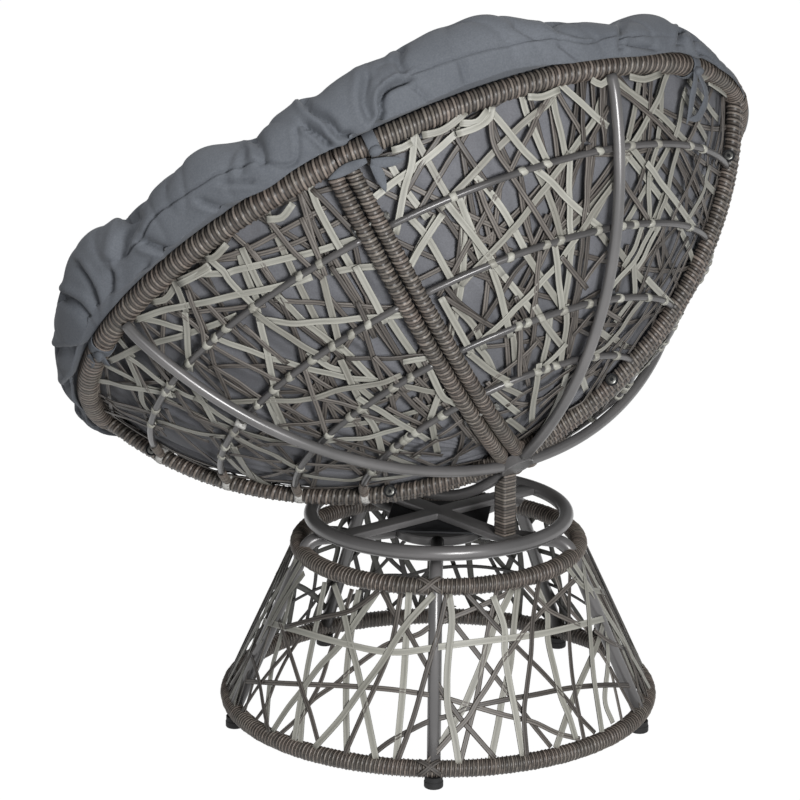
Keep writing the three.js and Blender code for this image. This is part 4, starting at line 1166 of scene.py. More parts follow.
# The sides, which the photograph hardly shows, are filled with strips of the same kind
rng = np.random.default_rng(77)
for rank in range(side_strips * 2):
    t = np.linspace(0.0, 1.0, 16)
    turn = camera_heading + math.pi / 2 * (1 if rank % 2 else -1) + rng.uniform(-side_reach, side_reach)
    turn = turn + rng.uniform(-0.4, 0.4) * (t - 0.5) + rng.uniform(-0.05, 0.05) * np.sin(t * np.pi)
    height = base_hoop_height + (top_hoop_height - base_hoop_height) * t
    radius = base_hoop_radius + (base_hoop_height - height) * cone_spread
    radius += weave_outset - base_layer_step * layer(rank)
    radial = np.stack([np.cos(turn), np.sin(turn), np.zeros_like(t)], axis=1)
    points = axis_foot + radial * radius[:, None] + height[:, None] * (0, 0, 1)
    outline, finish = tape_kind if rank % 5 < 2 else cord_kind
    parts.append(swept(points, radial, outline, mark=300 + rank, finish=finish))
weave = piece("base_weave_strips", parts, flat_strip, cord_strip)
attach(weave, "base")
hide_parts("base_weave")

# Swivel ring: round steel tube, rolled to a hoop with its ends welded together. The flat of the
# bowl lies on it.
ring_radius = 0.1925
ring_height = 0.310
ring_tube_radius = 0.011
points, radial = circle(ring_radius, ring_height, 180)
tube = swept(points, radial, round_outline(ring_tube_radius, 28), closed=True)
ring = piece("swivel_ring_tube", [tube], painted_steel)
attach(ring, "seat")
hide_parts("swivel_ring")

# Post: square steel tube bound with wicker. It stands on the rear crossbar, and its slanting top
# carries the head.
post_side = 0.024
post_forward = 0.0136
post_bottom = 0.3153
post_top = 0.4092
post_pitch = 0.009
post_row = 0.0015
post_ridge = 0.0007
post_sides = 32
post_squareness = 9
rows = int((post_top - post_bottom) / post_row)
height = np.linspace(post_bottom, post_top, rows)
passes = (height - post_bottom) / post_pitch
sag = post_ridge * (np.abs(np.sin(np.pi * passes)) ** 0.5 - 0.6)
angle = np.arange(post_sides) * 2 * np.pi / post_sides
square = np.abs(np.cos(angle)) ** post_squareness + np.abs(np.sin(angle)) ** post_squareness
square = square ** (-1 / post_squareness)
reach = post_side / 2 * square[None] + sag[:, None]
outline = np.stack([reach * np.cos(angle), reach * np.sin(angle)], axis=2)
post_back = axis_foot[1] + bowl_apex_back - post_forward
points = np.stack([np.zeros(rows), np.full(rows, post_back), height], axis=1)
part = swept(points, np.tile((0.0, 1.0, 0.0), (rows, 1)), outline)
part[2][:, 0] *= 4 / post_pitch
post = piece("post_wrap", [part], wicker)
head_place = bowl_places(0.0, 0.0, spine_outset + spine_radius)
head_gap = 0.0003
edit = bmesh.new()
edit.from_mesh(post.data)
bmesh.ops.bisect_plane(edit, geom=edit.verts[:] + edit.edges[:] + edit.faces[:], clear_outer=True,
                       plane_co=head_place - head_gap * bowl_axis, plane_no=bowl_axis)
bmesh.ops.holes_fill(edit, edges=[edge for edge in edit.edges if edge.is_boundary])
edit.to_mesh(post.data)
edit.free()
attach(post, "seat")
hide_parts("rear_post")

# Head: a short round boss of mild steel, turned and powder coated, to which the four spines are
# welded
boss_radius = 0.0256
boss_height = 0.016
boss_round = 0.0011


def disc_profile(radius, height, edge):
    """The profile of a disc whose edges are taken off."""
    return [(0, 0), (radius - edge, 0), (radius, edge), (radius, height - edge), (radius - edge, height),
            (0, height)]


profile = disc_profile(boss_radius, boss_height, boss_round)
head = lathed("spine_boss", profile, head_place, 48, painted_steel, bowl_axis)
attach(head, "seat")
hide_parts("spine_head")

# Black steel: cold-rolled plate under thin black paint. It is duller than the powder coat and goes
# greyish in patches where the paint is thinnest.
black_paint = "17181a"
black_worn = "2c2d30"
black_cloud_mm = 28.57
black_steel, tree, output = new_material("black painted plate")
place = node(tree, "ShaderNodeTexCoord", {}).outputs["Object"]
cloud = node(tree, "ShaderNodeTexNoise", {"Scale": 1000 / black_cloud_mm, "Detail": 5.0}, [
    ("Vector", place)])
tone = node(tree, "ShaderNodeValToRGB", {"stops": [(0.4, black_paint), (0.75, black_worn)]}, [
    ("Fac", cloud.outputs["Fac"])])
dull = node(tree, "ShaderNodeMapRange", {"To Min": 0.42, "To Max": 0.6}, [("Value", cloud.outputs["Fac"])])
shader = node(tree, "ShaderNodeBsdfPrincipled", {"Metallic": 0.3}, [
    ("Base Color", tone.outputs["Color"]), ("Roughness", dull.outputs["Result"])])
tree.links.new(shader.outputs[0], output.inputs[0])

# Hub: a round steel plate on the five arms. The lower swivel plate is screwed to it, a ball race
# lies between the plates, and the upper plate carries the crossed bars that the ring is welded to.


def slab(name, outline, bottom, thickness, bevel, material):
    """A flat plate with the given outline and rounded edges."""
    count = len(outline)
    places = [(x, y + axis_foot[1], bottom) for x, y in outline]
    places += [(x, y + axis_foot[1], bottom + thickness) for x, y in outline]
    faces = [list(range(count))[::-1], list(range(count, 2 * count))]
    faces += [[k, (k + 1) % count, (k + 1) % count + count, k + count] for k in range(count)]
    mesh = bpy.data.meshes.new(name)
    mesh.from_pydata(places, [], faces)
    mesh.materials.append(material)
    made = linked(name, mesh)
    edit = bmesh.new()
    edit.from_mesh(mesh)
    edges = [edge for edge in edit.edges if abs(edge.calc_face_angle(0.0)) > 0.6]
    bmesh.ops.bevel(edit, geom=edges, offset=bevel, segments=3, profile=0.5, affect="EDGES",
                    clamp_overlap=True)
    edit.to_mesh(mesh)
    edit.free()
    smoothed(made)
    return made


hub_bottom = 0.279
hub_thickness = 0.014
hub_round = 0.002
profile = disc_profile(hub_radius, hub_thickness, hub_round)
hub = lathed("hub_plate", profile, axis_foot + (0, 0, hub_bottom), 64, painted_steel)
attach(hub, "base")
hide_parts("base_hub")


def rounded_square(side, corner, turn):
    """The outline of a square with round corners, turned about its middle."""
    outline = []
    for quarter in range(4):
        start = quarter * math.pi / 2
        middle = (side / 2 - corner) * math.sqrt(2)
        middle = middle * np.array([math.cos(start + math.pi / 4), math.sin(start + math.pi / 4)])
        for angle in np.radians(np.linspace(0, 90, 7)) + start:
            x, y = middle + corner * np.array([math.cos(angle), math.sin(angle)])
            outline.append((x * math.cos(turn) - y * math.sin(turn), x * math.sin(turn) + y * math.cos(turn)))
    return outline


plate_thickness = 0.003
plate_corner = 0.006
plate_bevel = 0.0005
plates = [("lower_plate", "lower_swivel_plate", 0.096, 0.2933, "base"),
          ("upper_plate", "upper_swivel_plate", 0.150, 0.3017, "seat")]
for name, solid, side, bottom, body in plates:
    outline = rounded_square(side, plate_corner, math.pi / 4)
    plate = slab(name, outline, bottom, plate_thickness, plate_bevel, black_steel)
    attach(plate, body)
    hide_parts(solid)

race_radius = 0.0405
race_half_width = 0.0064
race_half_height = 0.0024
race_height = 0.299
points, radial = circle(race_radius, race_height, 96)
angle = np.linspace(0, 2 * np.pi, 16, endpoint=False)
outline = np.stack([race_half_width * np.cos(angle), race_half_height * np.sin(angle)], axis=1)
race = piece("ball_race", [swept(points, radial, outline, closed=True)], black_steel)
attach(race, "base")
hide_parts("bearing_race")

# Crossed bars: flat bars of mild steel, welded in a cross over the upper plate, with their ends
# inside the swivel ring
bar_half = 0.014
bar_reach = 0.1812
bar_bottom = 0.305
bar_thickness = 0.010
bar_bevel = 0.0012
outline = [(bar_reach, -bar_half), (bar_reach, bar_half), (bar_half, bar_half), (bar_half, bar_reach),
           (-bar_half, bar_reach), (-bar_half, bar_half), (-bar_reach, bar_half), (-bar_reach, -bar_half),
           (-bar_half, -bar_half), (-bar_half, -bar_reach), (bar_half, -bar_reach), (bar_half, -bar_half)]
bars = slab("crossed_bars", outline, bar_bottom, bar_thickness, bar_bevel, painted_steel)
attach(bars, "seat")
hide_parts("crossbars")

# Bolt steel: zinc-plated steel, bright but clouded by handling, so that it gleams in small
# patches
zinc_bright = "9c9c98"
zinc_dull = "6d6d6a"
zinc_cloud_mm = 3.846
bolt_steel, tree, output = new_material("zinc plated steel")
place = node(tree, "ShaderNodeTexCoord", {}).outputs["Object"]
cloud = node(tree, "ShaderNodeTexNoise", {"Scale": 1000 / zinc_cloud_mm, "Detail": 3.0}, [
    ("Vector", place)])
tone = node(tree, "ShaderNodeValToRGB", {"stops": [(0.38, zinc_dull), (0.65, zinc_bright)]}, [
    ("Fac", cloud.outputs["Fac"])])
shader = node(tree, "ShaderNodeBsdfPrincipled", {"Metallic": 0.85, "Roughness": 0.34}, [
    ("Base Color", tone.outputs["Color"])])
tree.links.new(shader.outputs[0], output.inputs[0])

# Seam bolts: button-head socket bolts of plated steel, two through each pair of side tubes. Each
# has a black washer under its head and a nut at its far end, and its socket is painted black inside as
# painted shade.
bolt_arc_shares = [0.853, 0.28]
bolt_head_radius = 0.0065
bolt_head_height = 0.003
bolt_socket_radius = 0.0028
bolt_socket_floor = 0.0012
bolt_shank_radius = 0.0029
bolt_shank_end = 0.001
bolt_steps = 36
washer_radius = 0.0092
washer_lift = 0.0018
# Rows in black: the socket's wall, as painted shade, and the black washer's top and edge
bolt_washer_and_socket_shade_rows = (0, 4, 5)
nut_radius = 0.006
nut_height = 0.0045
tube_flat = 0.0111
for number, name in enumerate(panels):
    next_name = panels[(number + 1) % len(panels)]
    seam = (number + 0.5) * panel_span
    for rank, share in enumerate(bolt_arc_shares, start=1):
        near = bowl_places(share, seam - float(beside_seam(share)))
        far = bowl_places(share, seam + float(beside_seam(share)))
        if name == "front":
            near, far = far, near
        grip = np.linalg.norm(far - near) / 2 + tube_flat
        rows = [(bolt_socket_radius, -grip - bolt_socket_floor, 6),
                (bolt_socket_radius, -grip - bolt_head_height, 6),
                (bolt_head_radius * 0.72, -grip - bolt_head_height * 0.97, 0),
                (bolt_head_radius * 0.94, -grip - bolt_head_height * 0.8, 0),
                (bolt_head_radius, -grip - washer_lift, 0), (washer_radius, -grip - washer_lift, 0),
                (washer_radius, -grip, 0), (bolt_shank_radius, -grip, 0), (bolt_shank_radius, grip, 0),
                (nut_radius, grip, 6), (nut_radius, grip + nut_height, 6),
                (bolt_shank_radius, grip + nut_height, 0),
                (bolt_shank_radius, grip + nut_height + bolt_shank_end, 0)]
        places = []
        for radius, height, flats in rows:
            for angle in np.arange(bolt_steps) * 2 * math.pi / bolt_steps:
                reach = radius
                if flats:
                    flat = math.pi / flats
                    reach *= math.cos(flat) / math.cos(angle % (2 * flat) - flat)
                places.append((reach * math.cos(angle), reach * math.sin(angle), height))
        faces = turned_faces(len(rows), bolt_steps)
        faces.append(list(range(bolt_steps))[::-1])
        faces.append([(len(rows) - 1) * bolt_steps + k for k in range(bolt_steps)])
        spin = np.array(Vector((0, 0, 1)).rotation_difference(Vector(far - near)).to_matrix())
        mesh = bpy.data.meshes.new(f"{name}_{next_name}_screw_{rank}")
        mesh.from_pydata((np.array(places) @ spin.T + (near + far) / 2).tolist(), [], faces)
        mesh.materials.append(bolt_steel)
        mesh.materials.append(black_steel)
        # The first cap, the socket's floor, is painted black too, as painted shade
        black = np.repeat([int(row in bolt_washer_and_socket_shade_rows) for row in range(len(rows) - 1)], bolt_steps)
        mesh.polygons.foreach_set("material_index", black.tolist() + [1, 0])
        bolt = linked(mesh.name, mesh)
        smoothed(bolt)
        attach(bolt, "seat")
        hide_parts(f"{name}_{next_name}_bolt_{rank}")

# Cushion: one round pad of slate woven polyester over fibre fill. It lines the bowl, rolls over the
# rim, and its cover is drawn in where ties bind it to the rim tube. Yarns are too fine to show, so the
# weave is drawn as faint ripples.
slate_dark = "575b62"
slate = "5f6369"
slate_light = "676b72"
ripple_mm = 10.05
slub_mm = 2.381
wash_mm = 142.9
slate_cloth, tree, output = new_material("slate woven polyester")
place = node(tree, "ShaderNodeTexCoord", {}).outputs["Object"]
ripple_scale = 2 * math.pi * 1000 / ripple_mm / 20
warp = node(tree, "ShaderNodeTexWave", {
    "Scale": ripple_scale, "bands_direction": "X", "Distortion": 1.5, "Detail": 1.0}, [("Vector", place)])
weft = node(tree, "ShaderNodeTexWave", {
    "Scale": ripple_scale, "bands_direction": "Z", "Distortion": 1.5, "Detail": 1.0}, [("Vector", place)])
yarns = node(tree, "ShaderNodeMath", {"operation": "MULTIPLY"}, [
    (0, warp.outputs["Fac"]), (1, weft.outputs["Fac"])])
slub = node(tree, "ShaderNodeTexNoise", {"Scale": 1000 / slub_mm, "Detail": 3.0}, [("Vector", place)])
wash = node(tree, "ShaderNodeTexNoise", {"Scale": 1000 / wash_mm, "Detail": 4.0}, [("Vector", place)])
wash = node(tree, "ShaderNodeMath", {"operation": "MULTIPLY", 1: 0.5}, [(0, wash.outputs["Fac"])])
blend = node(tree, "ShaderNodeMath", {"operation": "MULTIPLY_ADD", 1: 0.5}, [
    (0, slub.outputs["Fac"]), (2, wash.outputs[0])])
tone = node(tree, "ShaderNodeValToRGB", {"stops": [(0.36, slate_dark), (0.5, slate), (0.64, slate_light)]}, [
    ("Fac", blend.outputs[0])])
skin = node(tree, "ShaderNodeBump", {"Strength": 0.2, "Distance": 0.0003}, [("Height", yarns.outputs[0])])
shader = node(tree, "ShaderNodeBsdfPrincipled", {
    "Roughness": 0.85, "Sheen Weight": 0.08, "Sheen Roughness": 0.4}, [
    ("Base Color", tone.outputs["Color"]), ("Normal", skin.outputs["Normal"])])
tree.links.new(shader.outputs[0], output.inputs[0])

# The lining, which the weave shows in pieces, is the same cloth painted paler, as painted light where the
# weave shades it
# Painted light: the lining's colours are paler than the cover's, to brighten it behind the weave
lining_painted_light_dark = "646569"
lining_painted_light_mid = "6c6d72"
lining_painted_light_pale = "75767b"
lining_cloth_painted_light = recoloured(slate_cloth, "slate woven polyester painted paler as light", (lining_painted_light_dark, lining_painted_light_mid, lining_painted_light_pale))

cushion_thickness = 0.112
cushion_crown = 0.104
cushion_overhang = 0.044
roll_width = 0.128
roll_height = 0.122
hug_radius = 0.0178
sphere_height = sphere_radius - bowl_depth
roll_middle = np.array([rim_radius + cushion_overhang - roll_width / 2, cushion_crown - roll_height / 2])
lining_rows, hug_rows, shelf_rows, roll_rows, dish_rows = 44, 9, 8, 104, 44
round_steps = 960
hem_give = 0.08
hug_turn = 0.62 * math.pi
roll_from, roll_to = math.radians(-37), math.radians(152)
edge_px = [
    (92, 424), (85, 408), (61, 399), (56, 380), (48, 357), (45, 334), (49, 310), (52, 298), (55, 270),
    (63, 258), (77, 245), (98, 237), (116, 230), (121, 221), (132, 211), (144, 196), (162, 180),
    (178, 163), (192, 153), (206, 149), (225, 147), (243, 144), (252, 140), (259, 129), (271, 117),
    (282, 112), (292, 101), (303, 98), (315, 99), (320, 92), (340, 77), (361, 65), (382, 57), (394, 55),
    (402, 46), (414, 41), (437, 28), (463, 20), (483, 12), (498, 11), (519, 14), (542, 19), (565, 20),
    (591, 19), (621, 22), (642, 18), (665, 13), (680, 23), (696, 32), (704, 44), (712, 54), (723, 67),
    (731, 82), (735, 95), (738, 110), (739, 130), (737, 155), (733, 180), (728, 200),
]
fold_px = [
    (0.015, 4.5, [(300, 96), (308, 108), (326, 120), (338, 136), (357, 138)]),
    (0.013, 3.5, [(300, 123), (317, 136), (330, 149)]),
    (0.004, 3.0, [(294, 122), (294, 163), (250, 160)]),
    (0.008, 6.0, [(251, 136), (258, 150), (262, 165)]),
    (0.009, 6.0, [(366, 68), (362, 90), (363, 106), (371, 124)]),
    (0.014, 3.4, [(412, 78), (398, 81), (384, 89), (379, 101), (381, 115), (372, 131)]),
    (0.012, 7.0, [(135, 206), (121, 233), (115, 262)]),
    (0.009, 4.5, [(137, 242), (160, 251), (180, 254)]),
    (0.006, 4.0, [(196, 201), (215, 208), (235, 209)]), (0.004, 5.0, [(244, 146), (238, 176)]),
    (0.004, 4.0, [(217, 184), (255, 184)]), (0.005, 5.0, [(512, 24), (540, 39)]),
    (0.007, 5.0, [(539, 16), (565, 31), (588, 37)]), (0.005, 4.0, [(560, 44), (580, 62)]),
    (0.006, 4.5, [(621, 20), (621, 51)]), (0.007, 4.0, [(628, 44), (658, 50)]),
    (0.009, 4.0, [(682, 22), (678, 46)]), (0.008, 4.0, [(692, 31), (701, 56), (716, 66)]),
    (0.005, 3.0, [(412, 86), (430, 102)]), (0.007, 5.0, [(402, 42), (396, 60), (404, 74)]),
    (0.010, 5.5, [(98, 333), (78, 305), (50, 290)]), (0.010, 5.0, [(100, 328), (94, 292), (76, 262)]),
    (0.007, 5.0, [(94, 342), (70, 350), (47, 348)]), (0.008, 5.0, [(93, 348), (76, 376), (60, 388)]),
    (0.007, 5.0, [(102, 325), (112, 292), (110, 268)]),
    (0.006, 4.0, [(128, 300), (140, 280), (150, 262)]), (0.004, 5.0, [(460, 60), (466, 84)]),
]
seam_px = [
    [(100, 262), (120, 258), (141, 235), (153, 216), (178, 198), (201, 184), (215, 175), (235, 167),
     (262, 158)],
    [(380, 91), (398, 79), (437, 64), (483, 50), (503, 46), (529, 40), (555, 37), (578, 42), (593, 42),
     (608, 36), (640, 34), (672, 36)],
]
tie_px = [(97, 338), (371, 142), (686, 62)]
ties_more = 3
fade_turn = 0.3
tie_pinch, tie_pinch_turn = 0.3, 0.07
push_in_most, push_out_most = -0.85, 0.55
even_half_steps, even_width = 12, 4.0
ease_rows, ease_steps, ease_share = 20, 60, 0.8


def cushion_section():
    """The cushion's section as (distance from the bowl's axis, height over the rim), from the middle
    of the lining to the middle of the dish, and how much of each place is roll."""
    lining_radius = sphere_radius - hug_radius

    def on_sphere(radius, angle):
        return np.stack([radius * np.sin(angle), sphere_height - radius * np.cos(angle)], axis=1)

    lining = on_sphere(lining_radius, np.linspace(0, cap_angle, lining_rows, endpoint=False))
    bend = math.pi / 2 + cap_angle - np.linspace(0, 1, hug_rows) * hug_turn
    hug = np.stack([rim_radius + hug_radius * np.cos(bend), hug_radius * np.sin(bend)], axis=1)
    angle = np.linspace(roll_from, roll_to, roll_rows)
    roll = roll_middle + np.stack([roll_width / 2 * np.cos(angle), roll_height / 2 * np.sin(angle)], axis=1)
    shelf = hug[-1] + (roll[0] - hug[-1]) * np.linspace(0, 1, shelf_rows + 2)[1:-1, None]
    lip = roll[-1]
    lip_angle = math.atan2(lip[0], sphere_height - lip[1])
    lip_radius = math.hypot(lip[0], sphere_height - lip[1])
    dish_radius = lining_radius - cushion_thickness
    share = np.linspace(1, 0, dish_rows + 1)[1:]
    dish = on_sphere(dish_radius + (lip_radius - dish_radius) * share ** 3, lip_angle * share)
    rise = np.sin(np.linspace(hem_give * np.pi, np.pi, roll_rows)) ** 0.7
    amount = np.concatenate([np.zeros(lining_rows + hug_rows), np.linspace(0, rise[0], shelf_rows), rise,
                             np.zeros(dish_rows)])
    return np.vstack([lining, hug, shelf, roll, dish]), amount


def as_pixels(places):
    """Where places fall on the photograph."""
    gap = places - camera_place
    depth = gap @ camera_forward
    return np.stack([photo_middle_px + lens_px * (gap @ camera_right) / depth,
                     photo_middle_px - lens_px * (gap @ camera_up) / depth], axis=-1)


def grid_normals(places):
    """Outward directions of a grid that runs round the bowl's axis."""
    around = np.roll(places, -1, axis=0) - np.roll(places, 1, axis=0)
    normals = np.cross(around, np.gradient(places, axis=1))
    return normals / np.maximum(np.linalg.norm(normals, axis=2, keepdims=True), 1e-9)


def line_distance(spots, line):
    """Each spot's distance from a line of points, more than zero on the line's right, and the share
    of the line's length that it is at."""
    line = np.asarray(line, float)
    lengths = np.linalg.norm(np.diff(line, axis=0), axis=1)
    starts = np.concatenate([[0], np.cumsum(lengths)])
    best, along = np.full(len(spots), 1e9), np.zeros(len(spots))
    for k, length in enumerate(lengths):
        way = (line[k + 1] - line[k]) / length
        t = np.clip((spots - line[k]) @ way, 0, length)
        gap = spots - line[k] - t[:, None] * way
        apart = np.linalg.norm(gap, axis=1)
        nearer = apart < np.abs(best)
        best[nearer] = (apart * np.where(gap[:, 1] * way[0] < gap[:, 0] * way[1], -1, 1))[nearer]
        along[nearer] = ((starts[k] + t) / starts[-1])[nearer]
    return best, along


# The section is turned round the bowl, then pushed in or out until its edge meets the photograph's
section, roll_amount = cushion_section()
turns = np.arange(round_steps) * 2 * np.pi / round_steps - np.pi
x, y = section[:, 0], sphere_height - section[:, 1]
places = bowl_places(np.arctan2(x, y)[None] / cap_angle, np.repeat(turns[:, None], len(section), axis=1),
                     (np.hypot(x, y) - sphere_radius)[None])
rims = bowl_places(1.0, turns)
rims_px = as_pixels(rims)
way = np.roll(rims_px, -1, axis=0) - np.roll(rims_px, 1, axis=0)
way = np.stack([way[:, 1], -way[:, 0]], axis=1) / np.linalg.norm(way, axis=1, keepdims=True)
way *= np.sign(np.sum(way * (rims_px - rims_px.mean(axis=0)), axis=1, keepdims=True))
first = lining_rows + hug_rows + shelf_rows
last = first + roll_rows
reach_px = np.einsum("jkc,jc->jk", as_pixels(places[:, first:last]) - rims_px[:, None], way)
furthest = reach_px.argmax(axis=1)
edge = np.array(edge_px, float)
wanted = np.full(round_steps, np.nan)
for j in range(round_steps):
    a, b = edge[:-1] - rims_px[j], edge[1:] - rims_px[j]
    side_a, side_b = (p[:, 0] * way[j, 1] - p[:, 1] * way[j, 0] for p in (a, b))
    crossed = side_a * side_b < 0
    t = side_a / np.where(crossed, side_a - side_b, 1.0)
    ahead = (a + (b - a) * t[:, None]) @ way[j]
    ahead = ahead[crossed & (ahead > 0) & (ahead < 150)]
    if len(ahead):
        wanted[j] = ahead.min() / reach_px[j].max() - 1
tie_turns = []
for pixel in tie_px:
    plan = seen_plan(pixel, 0.0)[0]
    tie_turns.append(math.atan2(plan[1], plan[0]))
last_tie = max(tie_turns)
tie_spacing = (2 * math.pi - last_tie + min(tie_turns)) / (ties_more + 1)
tie_turns += [last_tie + (k + 1) * tie_spacing for k in range(ties_more)]
rng = np.random.default_rng(41)
loose = sum(0.05 * np.sin(turns * k + rng.uniform(0, 6.28)) for k in (9, 14, 23)) - 0.04
for tie in tie_turns[len(tie_px):]:
    from_tie = np.remainder(turns - tie + np.pi, 2 * np.pi) - np.pi
    loose -= tie_pinch * np.exp(-(from_tie / tie_pinch_turn) ** 2)
seen = np.isfinite(wanted)
picked = np.arange(round_steps)
away = (picked[:, None] - picked[seen][None] + round_steps // 2) % round_steps - round_steps // 2
nearest = np.abs(away).argmin(axis=1)
fade = np.exp(-(away[picked, nearest] * 2 * np.pi / round_steps / fade_turn) ** 2)
wanted = wanted[seen][nearest] * fade + loose * (1 - fade)
kernel = np.exp(-(np.arange(-even_half_steps, even_half_steps + 1) / even_width) ** 2)
wanted = np.convolve(np.pad(wanted, even_half_steps, mode="wrap"), kernel / kernel.sum(), mode="valid")
furthest = first + np.where(seen, np.clip(furthest, roll_rows // 8, roll_rows * 7 // 8), roll_rows // 3)
push = (places[picked, furthest] - rims) * np.clip(wanted, push_in_most, push_out_most)[:, None]
amount = np.clip(roll_amount[None] / roll_amount[furthest][:, None], 0, 1.15)
places = places + push[:, None] * amount[..., None]
eased = slice(last - ease_rows, last + ease_rows)
ease = np.sin(np.linspace(0, np.pi, 2 * ease_rows))[None, :, None] ** 0.5
for step in range(ease_steps):
    evened = (np.roll(places, 1, axis=1) + np.roll(places, -1, axis=1))[:, eased] / 2
    places[:, eased] += (evened - places[:, eased]) * ease * ease_share

# Folds and the stitched seam are pressed in along the lines traced on the photograph. The far side
# repeats them, mirrored.
fold_least = 0.0035
fold_gain = 1.25
fold_lip = 0.28
fold_sharp, fold_slack = 0.37, 1.2
fold_reach_px = 40
fold_step_px = 8.0
seam_width_px = 1.8
hem_rows, hem_least = 8, 0.4
normals = grid_normals(places)
spots = as_pixels(places)
row = np.arange(len(section))
facing = np.sum(normals * (camera_place - places), axis=2) > 0.0
facing &= (row >= lining_rows + hug_rows)[None]
dent = np.zeros(places.shape[:2])
for depth, width, line in fold_px + [(fold_least, seam_width_px, line) for line in seam_px]:
    line = flowing(line, fold_step_px)
    near = facing & (spots[..., 0] > line[:, 0].min() - fold_reach_px)
    near &= spots[..., 0] < line[:, 0].max() + fold_reach_px
    apart, along = line_distance(spots[near], line)
    taper = np.clip(np.sin(np.pi * np.clip(along, 0.0, 1.0)) * 2.2 + 0.25, 0, 1)
    steep = np.where(apart > 0, fold_sharp, fold_slack) if depth > fold_least else 1.0
    hollow = -np.exp(-(apart / (width * steep)) ** 2)
    hollow += fold_lip * np.exp(-((apart - 1.3 * width) / (0.8 * width)) ** 2)
    dent[near] += depth * fold_gain * taper * hollow
mirror_turn = math.radians(110)
mirrored = np.round((mirror_turn - turns + np.pi) / (2 * np.pi) * round_steps).astype(int) % round_steps
hidden = (turns > mirror_turn / 2) | (turns < mirror_turn / 2 - np.pi)
dent[hidden] = dent[mirrored][hidden]

# The dish is left softly uneven, as filling settles
dish_swell = 0.0016
soft = sum(np.sin(turns[:, None] * k[0] + row[None] * k[1] + k[2])
           for k in ((7, 0.11, 1.0), (16, -0.07, 2.0), (29, 0.19, 4.0)))
dish_share = np.clip((row - first - roll_rows * 0.6) / 20, 0, 1)
dish_share *= np.clip((len(section) - row) / 30, 0, 1) ** 2
dent += dish_swell * soft * dish_share[None] * np.clip(section[:, 0] / rim_radius, 0, 1)[None] ** 2
crease_length, crease_spacing, crease_size = 0.15, 0.055, 0.13
crease_depth, crease_sharpness = 0.0036, 3.0
lining_swell = 0.0028
arc = np.concatenate([[0], np.cumsum(np.linalg.norm(np.diff(section, axis=0), axis=1))])
crease_ring = rim_radius / crease_spacing
roll_grain = np.array([[noise.noise(Vector((math.cos(turn) * crease_ring, math.sin(turn) * crease_ring,
                                            s / crease_length))) for s in arc[first:last]] for turn in turns])
dish_grain = np.array([[noise.noise(Vector(place)) for place in line]
                       for line in places[:, first:] / crease_size])
for grain, share, at in ((roll_grain, roll_amount, slice(first, last)),
                         (dish_grain, dish_share, slice(first, None))):
    crease = np.clip(1 - np.abs(grain) * crease_sharpness, 0, 1) ** 3
    dent[:, at] -= crease_depth * crease * share[None, at]
dent *= np.clip((row - first + 3) / hem_rows, 0, 1) * (1 - hem_least) + hem_least
lining_share = np.clip((lining_rows - row) / 6, 0, 1) * np.clip(row / 8, 0, 1)
dent += lining_swell * np.sin(soft * 2.2 + turns[:, None] * 5) * lining_share[None]
places = places + normals * dent[..., None]

rows = len(section) - 2
body = places[:, 1:-1].reshape(-1, 3)
vertices = np.vstack([body, places[0, :1], places[0, -1:]])
j, k = np.meshgrid(np.arange(round_steps), np.arange(rows - 1), indexing="ij")
j, k = j.ravel(), k.ravel()
beside = (j + 1) % round_steps
faces = np.stack([j * rows + k, beside * rows + k, beside * rows + k + 1, j * rows + k + 1], axis=1).tolist()
for j in range(round_steps):
    beside = (j + 1) % round_steps
    faces.append([len(body), beside * rows, j * rows])
    faces.append([len(body) + 1, j * rows + rows - 1, beside * rows + rows - 1])
mesh = bpy.data.meshes.new("cushion_cover")
mesh.from_pydata(vertices.tolist(), [], faces)
mesh.polygons.foreach_set("use_smooth", [True] * len(faces))
mesh.materials.append(slate_cloth)
mesh.materials.append(lining_cloth_painted_light)
rank = np.concatenate([k < lining_rows, np.tile([True, False], round_steps)])
mesh.polygons.foreach_set("material_index", rank.astype(int).tolist())
cushion = linked("cushion_cover", mesh)
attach(cushion, "seat")
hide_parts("cushion")

# Ties: flat strips of the cover's cloth, sewn to the cushion, wrapped round the rim and knotted,
# with two or three loose ends each
tie_width = 0.017
tie_thickness = 0.0014
tie_gap = 0.0016
tie_ring_radius = rim_tube_radius + max(rim_bulk.values()) + tie_gap
tie_slack = 0.0006
tail_step_px = 4.0
tail_outset, tail_settle, tail_ripple = 0.0175, 0.004, 0.0012
tail_half_width, tail_half_swell = 0.0035, 0.004
knot_share = 0.984
knot_outset = 0.0195
knot_half_length = 0.009
knot_radius = 0.0072
tail_px = [
    [[(99, 344), (108, 352), (116, 360)], [(97, 346), (98, 362)]],
    [[(370, 160), (385, 161), (403, 158)], [(371, 162), (378, 172), (385, 190)],
     [(366, 159), (348, 167), (329, 178)]],
    [[(684, 72), (684, 95), (678, 124)], [(687, 74), (696, 98), (690, 116), (679, 120)]]]
tail_plans = [[seen_plan(flowing(line, tail_step_px), 0.0) for line in lines] for lines in tail_px]
w, t = tie_width / 2, tie_thickness / 2
tie_outline = [(-t, -w), (t, -w * 0.9), (t * 0.2, -w * 0.4), (t * 1.6, 0), (t * 0.2, w * 0.5), (t, w * 0.9),
               (-t, w)]
tail_outline = [(-t, -1), (t, -0.9), (t * 0.3, 0), (t, 0.9), (-t, 1)]
around = np.linspace(0, 2 * np.pi, 40, endpoint=False)
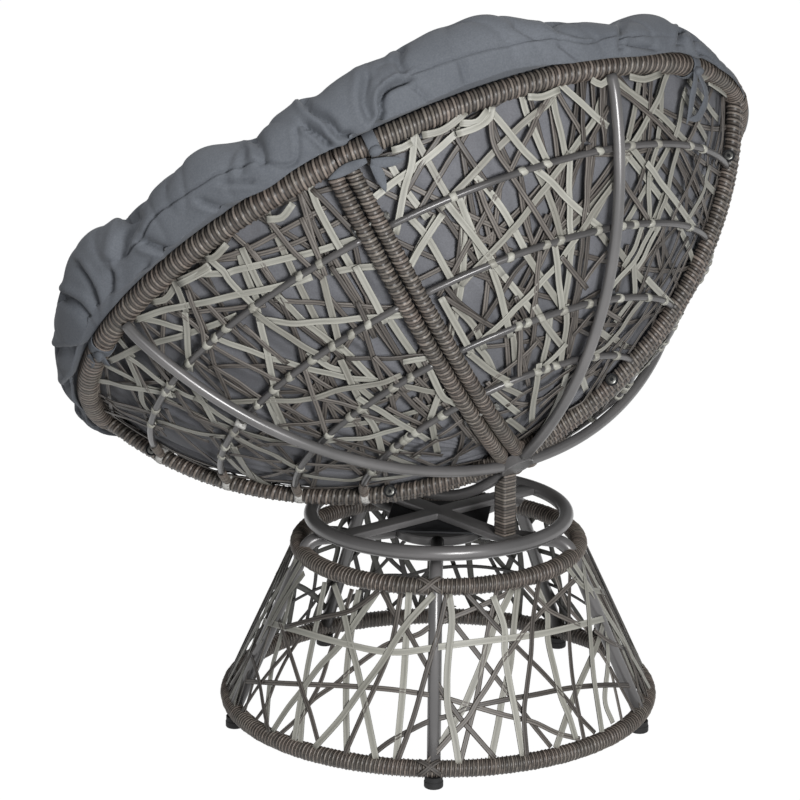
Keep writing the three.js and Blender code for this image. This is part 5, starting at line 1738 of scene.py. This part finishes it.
swirl = np.linspace(0, 2 * np.pi, 18, endpoint=False)
parts = []
for number, turn in enumerate(tie_turns):
    middle = bowl_places(1.0, turn)
    out = bowl_normals(1.0, turn)
    along = bowl_normals(1.0, turn + 0.001) - out
    along /= np.linalg.norm(along)
    up = np.cross(out, along)
    ring = out[None] * np.cos(around)[:, None] + up[None] * np.sin(around)[:, None]
    radius = tie_ring_radius + tie_slack * np.sin(around * 3 + number)
    parts.append(swept(middle + ring * radius[:, None], ring, tie_outline, closed=True))
    plans = tail_plans[number] if number < len(tail_plans) else []
    for lean in (() if plans else (-1, 1)):
        fall = np.linspace(0.985, 0.9, 14)
        swing = turn + lean * 0.012 + lean * 0.05 * np.linspace(0, 1, 14) ** 1.5
        plans = plans + [np.stack([fall * np.cos(swing), fall * np.sin(swing)], axis=1)]
    for plan in plans:
        share = np.minimum(np.hypot(plan[:, 0], plan[:, 1]), 1.0)
        swing = np.arctan2(plan[:, 1], plan[:, 0])
        fall = np.linspace(0, 1, len(plan))
        outset = tail_outset - tail_settle * fall + tail_ripple * np.sin(fall * 9)
        wide = tail_half_width + tail_half_swell * np.sin(np.pi * fall * 0.9)
        wide *= 1 - 0.85 * fall ** 6
        above = np.repeat([[rise for rise, side in tail_outline]], len(wide), axis=0)
        beside = np.array([side for rise, side in tail_outline]) * wide[:, None]
        shape = np.stack([above, beside], axis=2)
        parts.append(swept(bowl_places(share, swing, outset), bowl_normals(share, swing), shape))
    rough = 1 + 0.12 * np.sin(swirl * 3 + number)
    knot = bowl_places(knot_share, turn, knot_outset)
    knot = knot + along[None] * np.linspace(-knot_half_length, knot_half_length, 9)[:, None]
    lump = np.sqrt(np.clip(1 - np.linspace(-0.97, 0.97, 9) ** 2, 0.05, 1)) * knot_radius
    shape = np.stack([np.cos(swirl) * rough * 0.8, np.sin(swirl) * rough], axis=1)
    parts.append(swept(knot, np.repeat(out[None], 9, axis=0), lump[:, None, None] * shape[None]))
ties = piece("cushion_ties", parts, slate_cloth)
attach(ties, "seat")
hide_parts("cushion")
